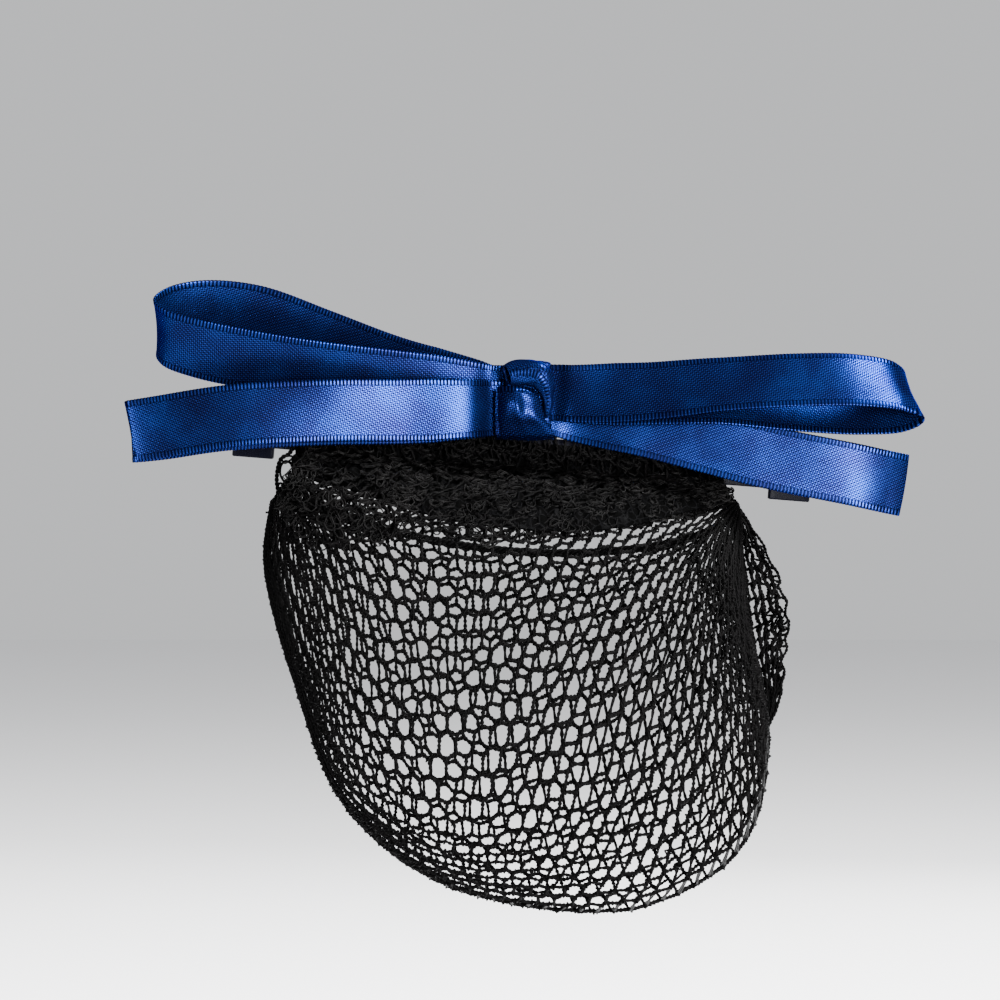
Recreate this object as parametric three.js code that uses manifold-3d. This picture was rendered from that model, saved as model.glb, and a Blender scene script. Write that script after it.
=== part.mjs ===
// A crocheted hair snood: a net pouch and a ribbon bow carried by a curved bar barrette.
// Millimetres. +X runs along the barrette, +Z up, -Y away from the head. The origin is the middle of the hair gap.
import * as THREE from 'three';
import Module from 'manifold-3d';

const wasm = await Module();
wasm.setup();

// Barrette
const barLength = 98;
const barHeight = 5.4;
const plateHeight = 9;
const plateLength = 7;
const barThickness = 1.2;
const barBow = 6;
const hairGap = 7.4;
const armHeight = 5;
const armThickness = 1.2;
const endBlockLength = 3;
const barTilt = THREE.MathUtils.degToRad(4.6);

// Ribbon and bow
const ribbonWidth = 10.3;
const ribbonThickness = 1;
const seatGap = 0.3;
const bowDepth = 10;
const foldHeight = 7.3;
const loopHeight = 9.9;
const knotSqueeze = 0.9;
const knotWidth = 9.8;
const knotBand = 1;
const knotBulge = 5;
const upperLeftReach = 61.2;
const lowerLeftReach = 65.2;
const upperRightReach = 64.8;
const lowerRightReach = 63.7;

// Net
const wall = 1.2;
const strand = 2.1;
const pouchLeft = 41;
const pouchRight = 36.5;
const pouchDrop = 77.5;
const pouchFront = 30;
const pouchSide = 9;
const pouchBack = 10;
const mouthBack = 15;
const mouthDrop = 12;
const mouthEndDrop = 3;
const netColumns = 11;
const frontRows = 6;
const backRows = 4;
const headingThickness = 1.6;
const headingRise = 1;
const headingGathers = 15;
const ruffleReach = 5.4;
const ruffleWave = 2.6;

const ribbonSatin = new THREE.MeshStandardMaterial({ color: 0x1c3a86, roughness: 0.38, metalness: 0 });
const netYarn = new THREE.MeshStandardMaterial({ color: 0x121214, roughness: 0.85, metalness: 0 });
const blackMetal = new THREE.MeshStandardMaterial({ color: 0x0c0c0d, roughness: 0.4, metalness: 0.6 });

const vector = (x, y, z) => new THREE.Vector3(x, y, z);

// A table of evenly spaced rows, read through a smooth curve.
function smoothTable(rows, at, column) {
  const place = THREE.MathUtils.clamp(at, 0, 1) * (rows.length - 1);
  const row = Math.min(Math.floor(place), rows.length - 2);
  const value = (index) => rows[THREE.MathUtils.clamp(index, 0, rows.length - 1)][column];
  const [a, b, c, d] = [value(row - 1), value(row), value(row + 1), value(row + 2)];
  const u = place - row;
  return 0.5 * (2 * b + (c - a) * u + (2 * a - 5 * b + 4 * c - d) * u * u + (3 * b - a - 3 * c + d) * u ** 3);
}

function meshFromTriangles(name, triangles, material) {
  const positions = [];
  for (const triangle of triangles) {
    const [a, b, c] = triangle;
    const area = b.clone().sub(a).cross(c.clone().sub(a)).length() / 2;
    if (area < 1e-7) continue;
    for (const corner of triangle) positions.push(corner.x, corner.y, corner.z);
  }
  const geometry = new THREE.BufferGeometry();
  geometry.setAttribute('position', new THREE.Float32BufferAttribute(positions, 3));
  geometry.computeVertexNormals();
  const mesh = new THREE.Mesh(geometry, material);
  mesh.name = name;
  return mesh;
}

const quad = (a, b, c, d) => [[a, b, c], [a, c, d]];

// A solid lofted through closed rings of points, with flat ends unless it closes on itself.
function loft(rings, closed) {
  const triangles = [];
  const last = closed ? rings.length : rings.length - 1;
  for (let i = 0; i < last; i += 1) {
    const ring = rings[i];
    const next = rings[(i + 1) % rings.length];
    for (let k = 0; k < ring.length; k += 1) {
      const after = (k + 1) % ring.length;
      triangles.push(...quad(ring[k], ring[after], next[after], next[k]));
    }
  }
  if (!closed) {
    const start = rings[0];
    const end = rings[rings.length - 1];
    for (let k = 1; k < start.length - 1; k += 1) {
      triangles.push([start[0], start[k + 1], start[k]]);
      triangles.push([end[0], end[k], end[k + 1]]);
    }
  }
  return triangles;
}

function toManifold(geometry) {
  const positions = geometry.getAttribute('position').array;
  const corners = geometry.index ? geometry.index.array : Uint32Array.from({ length: positions.length / 3 }, (_, k) => k);
  const mesh = new wasm.Mesh({ numProp: 3, vertProperties: positions, triVerts: Uint32Array.from(corners) });
  mesh.merge();
  return new wasm.Manifold(mesh);
}

function fromManifold(solid) {
  const { vertProperties, triVerts } = solid.getMesh();
  const geometry = new THREE.BufferGeometry();
  geometry.setAttribute('position', new THREE.BufferAttribute(vertProperties, 3));
  geometry.setIndex(new THREE.BufferAttribute(triVerts, 1));
  return geometry;
}

// Barrette: a bowed bar in front of the hair, with a taller plate at each end, and a straight arm behind it,
// joined by a block at each end. The net hangs from the level of the plates' lower edge.
const barFrontMiddle = -hairGap / 2 - barThickness;
const barRadius = ((barLength / 2) ** 2 + barBow ** 2) / (2 * barBow);
const barFrontAt = (x) => barFrontMiddle + barRadius - Math.sqrt(barRadius ** 2 - x ** 2);
const barMiddleHeight = (x) => -x * Math.tan(barTilt);
const plateBottom = (x) => barMiddleHeight(x) - plateHeight / 2 / Math.cos(barTilt);

function extrudeUpright(shape, height) {
  const geometry = new THREE.ExtrudeGeometry(shape, { depth: height, bevelEnabled: false, curveSegments: 24 });
  geometry.translate(0, 0, -height / 2);
  return geometry;
}

function barrette() {
  const half = barLength / 2;
  const spread = Math.asin(half / barRadius);
  const centre = barFrontMiddle + barRadius;
  const bar = new THREE.Shape();
  bar.absarc(0, centre, barRadius, -Math.PI / 2 - spread, -Math.PI / 2 + spread, false);
  bar.absarc(0, centre, barRadius - barThickness, -Math.PI / 2 + spread, -Math.PI / 2 - spread, true);
  bar.closePath();
  const armFront = hairGap / 2;
  const armBack = armFront + armThickness;
  const arm = new THREE.Shape([
    new THREE.Vector2(-half, armFront),
    new THREE.Vector2(half, armFront),
    new THREE.Vector2(half, armBack),
    new THREE.Vector2(-half, armBack),
  ]);
  let solid = toManifold(extrudeUpright(bar, plateHeight));
  for (const side of [-1, 1]) {
    const waist = new THREE.BoxGeometry(2 * (half - plateLength), barBow + hairGap, plateHeight);
    waist.translate(0, barFrontMiddle, side * (barHeight + plateHeight) / 2);
    solid = solid.subtract(toManifold(waist));
  }
  solid = solid.add(toManifold(extrudeUpright(arm, armHeight)));
  for (const side of [-1, 1]) {
    const inner = side * (half - endBlockLength);
    const outer = side * half;
    const front = barFrontAt(half - endBlockLength) + barThickness / 2;
    const block = new THREE.BoxGeometry(endBlockLength, armBack - front, armHeight);
    block.translate((inner + outer) / 2, (front + armBack) / 2, 0);
    solid = solid.add(toManifold(block));
  }
  const mesh = new THREE.Mesh(fromManifold(solid), blackMetal);
  mesh.name = 'barrette';
  return mesh;
}

// Pouch surface. `along` runs from the left end of the barrette to the right end, `around` from the barrette,
// over the front and bottom, to the free edge on the head side. The outline row is where around is 1.
const outline = [
  { across: -1.005, down: 0.05, crowd: 0.5 },
  { across: -1.06, down: 0.25, crowd: 0.42 },
  { across: -0.925, down: 0.52, crowd: 0.4 },
  { across: -0.745, down: 0.757, crowd: 0.6 },
  { across: -0.39, down: 0.92, crowd: 0.8 },
  { across: 0.068, down: 0.987, crowd: 1 },
  { across: 0.592, down: 0.98, crowd: 1.2 },
  { across: 1.025, down: 0.846, crowd: 1.35 },
  { across: 1.14, down: 0.606, crowd: 1.35 },
  { across: 1.04, down: 0.361, crowd: 1.15 },
  { across: 1, down: 0.112, crowd: 1 },
];
const mouthNarrowing = 0.94;
const boxiness = 3;
const endShare = 0.02;
const rowEvenness = 0.5;

const swell = (share) => Math.sqrt(Math.max(0, 1 - Math.abs(2 * share - 1) ** boxiness));
const endTaper = (along) => Math.sqrt(Math.max(0, Math.sin(Math.PI * along)));
const acrossToX = (across) => across * (across < 0 ? pouchLeft : pouchRight);
const mix = THREE.MathUtils.lerp;

function outlinePoint(along) {
  const across = smoothTable(outline, along, 'across');
  const x = acrossToX(across);
  const taper = endTaper(along);
  return vector(x, mix(barFrontAt(x) + barThickness / 2, -pouchSide, taper), -smoothTable(outline, along, 'down') * pouchDrop);
}

function barEdgePoint(along) {
  const x = mix(-pouchLeft, pouchRight, along);
  return vector(x, barFrontAt(x) + barThickness / 2, plateBottom(x) - seatGap);
}

function mouthPoint(along) {
  const x = mix(-pouchLeft, pouchRight, along) * mouthNarrowing;
  const taper = endTaper(along);
  return vector(x, mix(0, mouthBack, taper), plateBottom(x) - mix(mouthEndDrop, mouthDrop, taper));
}

// The pouch's front runs from share 0 at the barrette to share 1 at the outline, and its back from there to the mouth.
function frontPoint(along, share) {
  const point = barEdgePoint(along).lerp(outlinePoint(along), share);
  point.y -= pouchFront * endTaper(along) * swell(share);
  return point;
}

function backPoint(along, share) {
  const point = outlinePoint(along).lerp(mouthPoint(along), share);
  point.y += pouchBack * endTaper(along) * swell(share);
  return point;
}

const evenly = (share) => mix(share, 0.5 - 0.5 * Math.cos(Math.PI * share), rowEvenness);

function surfaceNormal(surface, a, b) {
  const step = 1e-3;
  const alongA = surface(a + step, b).sub(surface(a - step, b));
  const alongB = surface(a, b + step).sub(surface(a, b - step));
  return alongB.cross(alongA).normalize();
}

// A sheet of coarse net: a wall of even thickness over a grid of columns and rows, cut through in staggered gaps.
// A cell is two columns by two rows. Where strands would fill it, the cell stays closed.
const cellCorner = 0.8;
const smallestGap = 0.3;
function netSheet({ pair, columns, rows, firstColumn, lastColumn, firstRow, lastRow }) {
  const triangles = [];
  const taken = new Set();
  const addBoth = (corners) => {
    const outer = corners.map(([i, j]) => pair(i, j).outer);
    const inner = corners.map(([i, j]) => pair(i, j).inner);
    triangles.push(...quad(...[...outer].reverse()), ...quad(...inner));
  };
  for (let j = firstRow; j + 2 <= lastRow; j += 2) {
    const stagger = ((j - firstRow) / 2) % 2;
    for (let i = firstColumn + stagger; i + 2 <= lastColumn; i += 2) {
      const wide = pair(i, j + 1).outer.distanceTo(pair(i + 2, j + 1).outer);
      const tall = pair(i + 1, j).outer.distanceTo(pair(i + 1, j + 2).outer);
      const halfWide = 1 - strand / wide;
      const halfTall = 1 - strand / tall;
      if (Math.min(halfWide, halfTall) < smallestGap) continue;
      const rim = [[0, 0], [1, 0], [2, 0], [2, 1], [2, 2], [1, 2], [0, 2], [0, 1]];
      const gap = rim.map(([u, v]) => {
        const corner = u !== 1 && v !== 1 ? cellCorner : 1;
        return [i + 1 + (u - 1) * halfWide * corner, j + 1 + (v - 1) * halfTall * corner];
      });
      for (let k = 0; k < rim.length; k += 1) {
        const next = (k + 1) % rim.length;
        const edge = [i + rim[k][0], j + rim[k][1]];
        const edgeNext = [i + rim[next][0], j + rim[next][1]];
        addBoth([edge, edgeNext, gap[next], gap[k]]);
        const near = pair(...gap[k]);
        const far = pair(...gap[next]);
        triangles.push(...quad(near.inner, far.inner, far.outer, near.outer));
      }
      for (const [u, v] of [[0, 0], [1, 0], [0, 1], [1, 1]]) taken.add(`${i + u},${j + v}`);
    }
  }
  for (let j = 0; j < rows; j += 1) {
    for (let i = 0; i < columns; i += 1) {
      if (!taken.has(`${i},${j}`)) addBoth([[i, j], [i + 1, j], [i + 1, j + 1], [i, j + 1]]);
    }
  }
  const edgeWall = (from, to) => {
    const a = pair(...from);
    const b = pair(...to);
    triangles.push(...quad(b.inner, a.inner, a.outer, b.outer));
  };
  for (let i = 0; i < columns; i += 1) {
    edgeWall([i, 0], [i + 1, 0]);
    edgeWall([i + 1, rows], [i, rows]);
  }
  for (let j = 0; j < rows; j += 1) {
    edgeWall([0, j + 1], [0, j]);
    edgeWall([columns, j], [columns, j + 1]);
  }
  return triangles;
}

// Columns of the pouch: a closing point, a plain end band, the staggered cells, and the same again at the far end.
const endBandShare = 0.07;
function pouchAlong(column) {
  const cells = 2 * netColumns;
  if (column <= 2) return mix(endShare, endBandShare, column - 1);
  if (column >= cells + 2) return mix(1 - endBandShare, 1 - endShare, column - cells - 2);
  return mix(endBandShare, 1 - endBandShare, (column - 2) / cells);
}

// Rows of the pouch: the dense band under the barrette, the front cells, the back cells, and the plain edge.
const headBand = 0.06;
const headRows = 4;
const mouthEdge = 0.92;
function pouchPoint(along, row) {
  const crowd = smoothTable(outline, along, 'crowd');
  const front = headRows + 2 * frontRows;
  const back = front + 2 * backRows;
  if (row <= headRows) return frontPoint(along, evenly(headBand) ** crowd * Math.max(row, 0.01) / headRows);
  if (row <= front) return frontPoint(along, evenly(mix(headBand, 1, (row - headRows) / (front - headRows))) ** crowd);
  if (row <= back) return backPoint(along, evenly((row - front) / (back - front)) * mouthEdge);
  return backPoint(along, mix(mouthEdge, 0.995, Math.min(1, row - back)));
}

function pouchNormal(column, row) {
  const step = 0.02;
  const rightward = pouchPoint(pouchAlong(column + step), row).sub(pouchPoint(pouchAlong(column - step), row));
  const downward = pouchPoint(pouchAlong(column), row + step).sub(pouchPoint(pouchAlong(column), row - step));
  return downward.cross(rightward).normalize();
}

function netPouch() {
  const columns = 2 * netColumns + 4;
  const rows = headRows + 2 * frontRows + 2 * backRows + 1;
  const outlineRow = headRows + 2 * frontRows;
  const pair = (column, row) => {
    if (column === 0 || column === columns) {
      const side = column === 0 ? -1 : 1;
      const along = side < 0 ? endShare : 1 - endShare;
      const middle = pouchPoint(along, 0).add(pouchPoint(along, outlineRow)).add(pouchPoint(along, rows));
      const outer = middle.divideScalar(3).add(vector(side * wall, 0, 0));
      return { outer, inner: outer.clone().add(vector(-side * wall, 0, 0)) };
    }
    const outer = pouchPoint(pouchAlong(column), row);
    return { outer, inner: outer.clone().addScaledVector(pouchNormal(column, row), -wall) };
  };
  const cells = { firstColumn: 2, lastColumn: columns - 2, firstRow: headRows, lastRow: rows - 1 };
  return meshFromTriangles('net_pouch', netSheet({ pair, columns, rows, ...cells }), netYarn);
}

// Heading: the bunched net in front of the bar and over the top of the pouch, in even gathers.
const headingShare = 0.115;
const headingEnds = 0.035;
const headingStations = 4 * headingGathers;
const headingSteps = [0.12, 0.4, 0.7, 1];
const headingEdge = 0.45;

function gatheredHeading() {
  const rings = [];
  for (let station = 0; station <= headingStations; station += 1) {
    const along = mix(headingEnds, 1 - headingEnds, station / headingStations);
    const gather = 0.5 - 0.5 * Math.cos(2 * Math.PI * headingGathers * station / headingStations);
    const x = mix(-pouchLeft, pouchRight, along);
    const front = barFrontAt(x) - seatGap;
    const top = barMiddleHeight(x) + headingRise;
    const under = [vector(x, front, top), vector(x, front, plateBottom(x) + seatGap)];
    for (const part of headingSteps) {
      const share = headingShare * part;
      const point = frontPoint(along, share);
      const rightward = frontPoint(along + 0.005, share).sub(frontPoint(along - 0.005, share));
      const downward = frontPoint(along, share + 0.003).sub(frontPoint(along, share - 0.003));
      point.addScaledVector(downward.cross(rightward).normalize(), seatGap);
      under.push(point);
    }
    const over = under.map((point, k) => {
      const before = under[Math.max(0, k - 1)];
      const after = under[Math.min(under.length - 1, k + 1)];
      const run = after.clone().sub(before);
      const out = vector(0, run.z, -run.y).normalize();
      const edge = k === 0 || k === under.length - 1 ? headingEdge : 1;
      return point.clone().addScaledVector(out, headingThickness * edge * (0.6 + 0.7 * gather));
    });
    rings.push([...over, ...under.reverse()]);
  }
  return meshFromTriangles('gathered_heading', loft(rings, false), netYarn);
}

// Bow. Every limb leaves the knot, turns at its far end and comes back behind itself.
// A row gives the distance out as a share of the limb's reach, the rise and the depth forward as shares of the
// ribbon's width and the bow's depth, how far the ribbon's upper edge leans towards the viewer, and at the turn how
// far it tilts sideways.
const limbs = [
  {
    name: 'upper_left_loop',
    reach: -upperLeftReach,
    height: loopHeight,
    layers: [0, 1],
    rows: [
      { out: 0.14, rise: 0.04, fore: 0.16, lean: 5, tilt: 0 },
      { out: 0.33, rise: 0.18, fore: 0.26, lean: 14, tilt: 0 },
      { out: 0.52, rise: 0.32, fore: 0.32, lean: 20, tilt: 0 },
      { out: 0.74, rise: 0.53, fore: 0.34, lean: 24, tilt: 0 },
      { out: 0.89, rise: 0.72, fore: 0.31, lean: 25, tilt: 0 },
      { out: 0.975, rise: 0.9, fore: 0.17, lean: 25, tilt: 0 },
      { out: 1, rise: 1.08, fore: -0.08, lean: 25, tilt: 0 },
      { out: 0.965, rise: 1.26, fore: -0.34, lean: 24, tilt: 0 },
      { out: 0.88, rise: 1.37, fore: -0.5, lean: 22, tilt: 0 },
      { out: 0.74, rise: 1.29, fore: -0.54, lean: 18, tilt: 0 },
      { out: 0.55, rise: 0.88, fore: -0.42, lean: 12, tilt: 0 },
      { out: 0.33, rise: 0.39, fore: -0.22, lean: 6, tilt: 0 },
      { out: 0.14, rise: 0.09, fore: -0.05, lean: 2, tilt: 0 },
    ],
  },
  {
    name: 'lower_left_fold',
    reach: -lowerLeftReach,
    height: foldHeight,
    layers: [2, 3],
    rows: [
      { out: 0.13, rise: -0.01, fore: 0.55, lean: 0, tilt: 0 },
      { out: 0.3, rise: -0.04, fore: 0.7, lean: 0, tilt: 0 },
      { out: 0.5, rise: -0.05, fore: 0.87, lean: 0, tilt: 0 },
      { out: 0.74, rise: -0.13, fore: 0.88, lean: 0, tilt: 0 },
      { out: 0.93, rise: -0.31, fore: 0.66, lean: 0, tilt: -9 },
      { out: 1, rise: -0.38, fore: 0.48, lean: 0, tilt: -11 },
      { out: 0.93, rise: -0.34, fore: 0.44, lean: 0, tilt: -9 },
      { out: 0.76, rise: -0.19, fore: 0.56, lean: 0, tilt: 0 },
      { out: 0.5, rise: -0.1, fore: 0.58, lean: 0, tilt: 0 },
      { out: 0.3, rise: -0.08, fore: 0.51, lean: 0, tilt: 0 },
      { out: 0.13, rise: -0.02, fore: 0.37, lean: 0, tilt: 0 },
    ],
  },
  {
    name: 'upper_right_loop',
    reach: upperRightReach,
    height: loopHeight,
    layers: [2, 3],
    rows: [
      { out: 0.13, rise: -0.02, fore: 0.55, lean: -6, tilt: 0 },
      { out: 0.32, rise: 0.01, fore: 0.74, lean: -22, tilt: 0 },
      { out: 0.51, rise: 0.12, fore: 0.86, lean: -31, tilt: 0 },
      { out: 0.72, rise: 0.2, fore: 0.86, lean: -34, tilt: 0 },
      { out: 0.86, rise: 0.2, fore: 0.78, lean: -34, tilt: 0 },
      { out: 0.965, rise: 0.1, fore: 0.6, lean: -32, tilt: -12 },
      { out: 1, rise: -0.07, fore: 0.42, lean: -30, tilt: -19 },
      { out: 0.965, rise: -0.2, fore: 0.28, lean: -30, tilt: -12 },
      { out: 0.87, rise: -0.26, fore: 0.2, lean: -32, tilt: 0 },
      { out: 0.7, rise: -0.2, fore: 0.3, lean: -32, tilt: 0 },
      { out: 0.51, rise: -0.08, fore: 0.42, lean: -28, tilt: 0 },
      { out: 0.32, rise: -0.04, fore: 0.42, lean: -18, tilt: 0 },
      { out: 0.13, rise: -0.02, fore: 0.31, lean: -3, tilt: 0 },
    ],
  },
  {
    name: 'lower_right_fold',
    reach: lowerRightReach,
    height: foldHeight,
    layers: [0, 1],
    rows: [
      { out: 0.14, rise: -0.07, fore: 0.17, lean: 0, tilt: 0 },
      { out: 0.3, rise: -0.25, fore: 0.27, lean: 0, tilt: 0 },
      { out: 0.45, rise: -0.49, fore: 0.36, lean: 0, tilt: 0 },
      { out: 0.63, rise: -0.78, fore: 0.43, lean: 0, tilt: 0 },
      { out: 0.87, rise: -1.08, fore: 0.44, lean: 0, tilt: 0 },
      { out: 0.96, rise: -1.2, fore: 0.3, lean: 0, tilt: 12 },
      { out: 1, rise: -1.25, fore: 0.18, lean: 0, tilt: 12 },
      { out: 0.96, rise: -1.2, fore: 0.1, lean: 0, tilt: 12 },
      { out: 0.87, rise: -1.08, fore: 0.13, lean: 0, tilt: 0 },
      { out: 0.63, rise: -0.78, fore: 0.18, lean: 0, tilt: 0 },
      { out: 0.45, rise: -0.49, fore: 0.15, lean: 0, tilt: 0 },
      { out: 0.3, rise: -0.25, fore: 0.1, lean: 0, tilt: 0 },
      { out: 0.14, rise: -0.07, fore: 0.04, lean: 0, tilt: 0 },
    ],
  },
];

const layerCount = 4;
const stackBack = barFrontMiddle - seatGap - knotBand - seatGap;
const layerAt = (layer) => stackBack - ribbonThickness / 2 - layer * (ribbonThickness + seatGap);
const limbStations = 44;

function bowLimb({ name, reach, height, layers, rows }) {
  const side = Math.sign(reach);
  const [backLayer, frontLayer] = layers;
  const exit = knotWidth / 2 + 2 * seatGap;
  const underKnot = (layer, distance) => ({
    point: vector(side * distance, layerAt(layer), height),
    lean: 0,
    tilt: 0,
  });
  const path = [
    underKnot(frontLayer, seatGap),
    underKnot(frontLayer, exit),
    ...rows.map((row) => ({
      point: vector(row.out * reach, stackBack - row.fore * bowDepth, height + row.rise * ribbonWidth),
      lean: THREE.MathUtils.degToRad(row.lean),
      tilt: THREE.MathUtils.degToRad(row.tilt),
    })),
    underKnot(backLayer, exit),
    underKnot(backLayer, seatGap),
  ];
  const curve = new THREE.CatmullRomCurve3(path.map((station) => station.point), false, 'centripetal');
  const rings = [];
  for (let station = 0; station <= limbStations; station += 1) {
    const share = station / limbStations;
    const point = curve.getPoint(share);
    const tangent = curve.getTangent(share);
    const place = share * (path.length - 1);
    const row = Math.min(Math.floor(place), path.length - 2);
    const lean = mix(path[row].lean, path[row + 1].lean, place - row);
    const tilt = mix(path[row].tilt, path[row + 1].tilt, place - row);
    const upright = vector(Math.sin(tilt), -Math.sin(lean), Math.cos(lean));
    upright.addScaledVector(tangent, -upright.dot(tangent)).normalize();
    const free = THREE.MathUtils.clamp((Math.abs(point.x) - exit) / knotWidth, 0, 1);
    const squeeze = mix(knotSqueeze, 1, free);
    const up = upright.multiplyScalar(ribbonWidth * squeeze / 2);
    const out = tangent.clone().cross(up).normalize().multiplyScalar(ribbonThickness / 2);
    rings.push([
      point.clone().add(up).sub(out),
      point.clone().add(up).add(out),
      point.clone().sub(up).add(out),
      point.clone().sub(up).sub(out),
    ]);
  }
  return meshFromTriangles(name, loft(rings, false), ribbonSatin);
}

// Knot: a band wrapped round the ribbon ends, thin behind them and puffed in front, with a crease between its folds.
const knotTurns = 32;
const knotProfile = [
  { turn: 0, thick: 0, wide: 0.84 },
  { turn: 0.25, thick: 0, wide: 0.86 },
  { turn: 0.36, thick: 0.25, wide: 0.92 },
  { turn: 0.4, thick: 0.75, wide: 0.98 },
  { turn: 0.45, thick: 1, wide: 1 },
  { turn: 0.5, thick: 0.9, wide: 1 },
  { turn: 0.53, thick: 0.6, wide: 0.97 },
  { turn: 0.57, thick: 0.78, wide: 1.02 },
  { turn: 0.62, thick: 0.5, wide: 1.04 },
  { turn: 0.66, thick: 0.1, wide: 1.02 },
  { turn: 0.75, thick: 0, wide: 0.96 },
  { turn: 1, thick: 0, wide: 0.84 },
];

function readTurn(turn, column) {
  const after = Math.max(1, knotProfile.findIndex((row) => row.turn >= turn));
  const low = knotProfile[after - 1];
  const high = knotProfile[after];
  return mix(low[column], high[column], (turn - low.turn) / (high.turn - low.turn));
}

function bowKnot() {
  const stackDepth = layerCount * (ribbonThickness + seatGap) - seatGap;
  const halfDepth = stackDepth / 2 + seatGap;
  const halfTall = (loopHeight - foldHeight + ribbonWidth * knotSqueeze) / 2 + seatGap;
  const centre = vector(0, stackBack - stackDepth / 2, (loopHeight + foldHeight) / 2);
  const rings = [];
  for (let station = 0; station < knotTurns; station += 1) {
    const turn = station / knotTurns;
    const side = Math.round(turn * 4) % 4;
    const step = 2 * (turn * 4 - Math.round(turn * 4));
    const [reachY, reachZ] = [[1, step], [-step, 1], [-1, -step], [step, -1]][side];
    const outward = vector(0, reachY ** 3, reachZ ** 3).normalize();
    const inner = vector(0, reachY * halfDepth, reachZ * halfTall).add(centre);
    const half = knotWidth * readTurn(turn, 'wide') / 2;
    const bulge = knotBulge * readTurn(turn, 'thick');
    const ring = [-1, 1].map((across) => inner.clone().setX(across * half));
    for (const across of [1, 0.72, 0, -0.72, -1]) {
      const crown = bulge * (1 - across ** 4 * 0.75);
      ring.push(inner.clone().addScaledVector(outward, knotBand).add(vector(across * half, -crown, 0)));
    }
    rings.push(ring);
  }
  return meshFromTriangles('bow_knot', loft(rings, true), ribbonSatin);
}

// Ruffle: the slack net that stands out from the pouch's right side, waved in depth and cut through in a few gaps.
const ruffle = [
  { along: 0.985, out: 0.1, sway: 0 },
  { along: 0.965, out: 0.55, sway: 0.8 },
  { along: 0.94, out: 0.85, sway: -0.7 },
  { along: 0.915, out: 1, sway: 0.9 },
  { along: 0.89, out: 0.95, sway: -0.8 },
  { along: 0.865, out: 0.7, sway: 0.7 },
  { along: 0.84, out: 0.45, sway: -0.5 },
  { along: 0.815, out: 0.12, sway: 0 },
];

function sideRuffle() {
  const columns = 14;
  const rows = 4;
  const point = (column, row) => {
    const place = column / columns;
    const base = outlinePoint(smoothTable(ruffle, place, 'along'));
    const share = row / rows;
    const out = ruffleReach * smoothTable(ruffle, place, 'out') * share;
    const sway = ruffleWave * smoothTable(ruffle, place, 'sway') * (0.25 + 0.75 * share);
    return vector(base.x + seatGap + wall * 0.5 + out, base.y + sway, base.z);
  };
  const pair = (column, row) => {
    const outward = point(column, row + 0.05).sub(point(column, row - 0.05));
    const downward = point(column + 0.05, row).sub(point(column - 0.05, row));
    const half = outward.cross(downward).normalize().multiplyScalar(wall / 2);
    return { outer: point(column, row).add(half), inner: point(column, row).sub(half) };
  };
  const cells = { firstColumn: 1, lastColumn: columns - 1, firstRow: 1, lastRow: rows - 1 };
  return meshFromTriangles('side_ruffle', netSheet({ pair, columns, rows, ...cells }), netYarn);
}

const group = new THREE.Group();
const clip = new THREE.Group();
clip.rotation.y = barTilt;
clip.add(barrette());
group.add(clip, netPouch(), gatheredHeading(), sideRuffle(), bowKnot());
for (const limb of limbs) group.add(bowLimb(limb));

export default group;
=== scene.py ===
import math

import bpy
import numpy as np
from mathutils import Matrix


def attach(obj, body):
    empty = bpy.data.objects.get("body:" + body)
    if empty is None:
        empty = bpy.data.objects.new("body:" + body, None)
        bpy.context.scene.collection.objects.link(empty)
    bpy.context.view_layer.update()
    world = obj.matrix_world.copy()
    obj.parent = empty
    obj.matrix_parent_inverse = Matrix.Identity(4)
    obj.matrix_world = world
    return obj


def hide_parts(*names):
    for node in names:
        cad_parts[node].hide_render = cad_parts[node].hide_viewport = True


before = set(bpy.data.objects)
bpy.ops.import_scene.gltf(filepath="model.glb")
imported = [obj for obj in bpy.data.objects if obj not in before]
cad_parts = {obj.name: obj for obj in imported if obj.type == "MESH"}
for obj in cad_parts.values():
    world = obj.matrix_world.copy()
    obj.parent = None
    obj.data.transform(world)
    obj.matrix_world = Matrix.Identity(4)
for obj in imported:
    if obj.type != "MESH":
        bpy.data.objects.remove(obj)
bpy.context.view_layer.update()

# Lengths below are millimetres, in the same axes as the CAD. They become metres where a mesh is made.
mm = 0.001
# Woven pieces carry their lay in UV as centimetres of ribbon, along it and across it from its middle.
uvUnit = 10
chance = np.random.default_rng(11)


def mix(a, b, share):
    return a + (b - a) * share


def unit(vectors):
    length = np.linalg.norm(vectors, axis=-1, keepdims=True)
    return vectors / np.maximum(length, 1e-9)


def clearSelection():
    bpy.ops.object.select_all(action="DESELECT")


def splineAt(a, b, c, d, u):
    # the curve from b to c, steered by the values before and after them
    square, cube = 2 * a - 5 * b + 4 * c - d, 3 * b - a - 3 * c + d
    return 0.5 * (2 * b + (c - a) * u + square * u ** 2 + cube * u ** 3)


def readTable(values, at):
    # a smooth curve through evenly spaced values
    values = np.asarray(values, float)
    place = np.clip(at, 0, 1) * (len(values) - 1)
    row = np.minimum(np.floor(place).astype(int), len(values) - 2)
    a, b, c, d = (values[np.clip(row + k, 0, len(values) - 1)] for k in (-1, 0, 1, 2))
    return splineAt(a, b, c, d, place - row)


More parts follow.
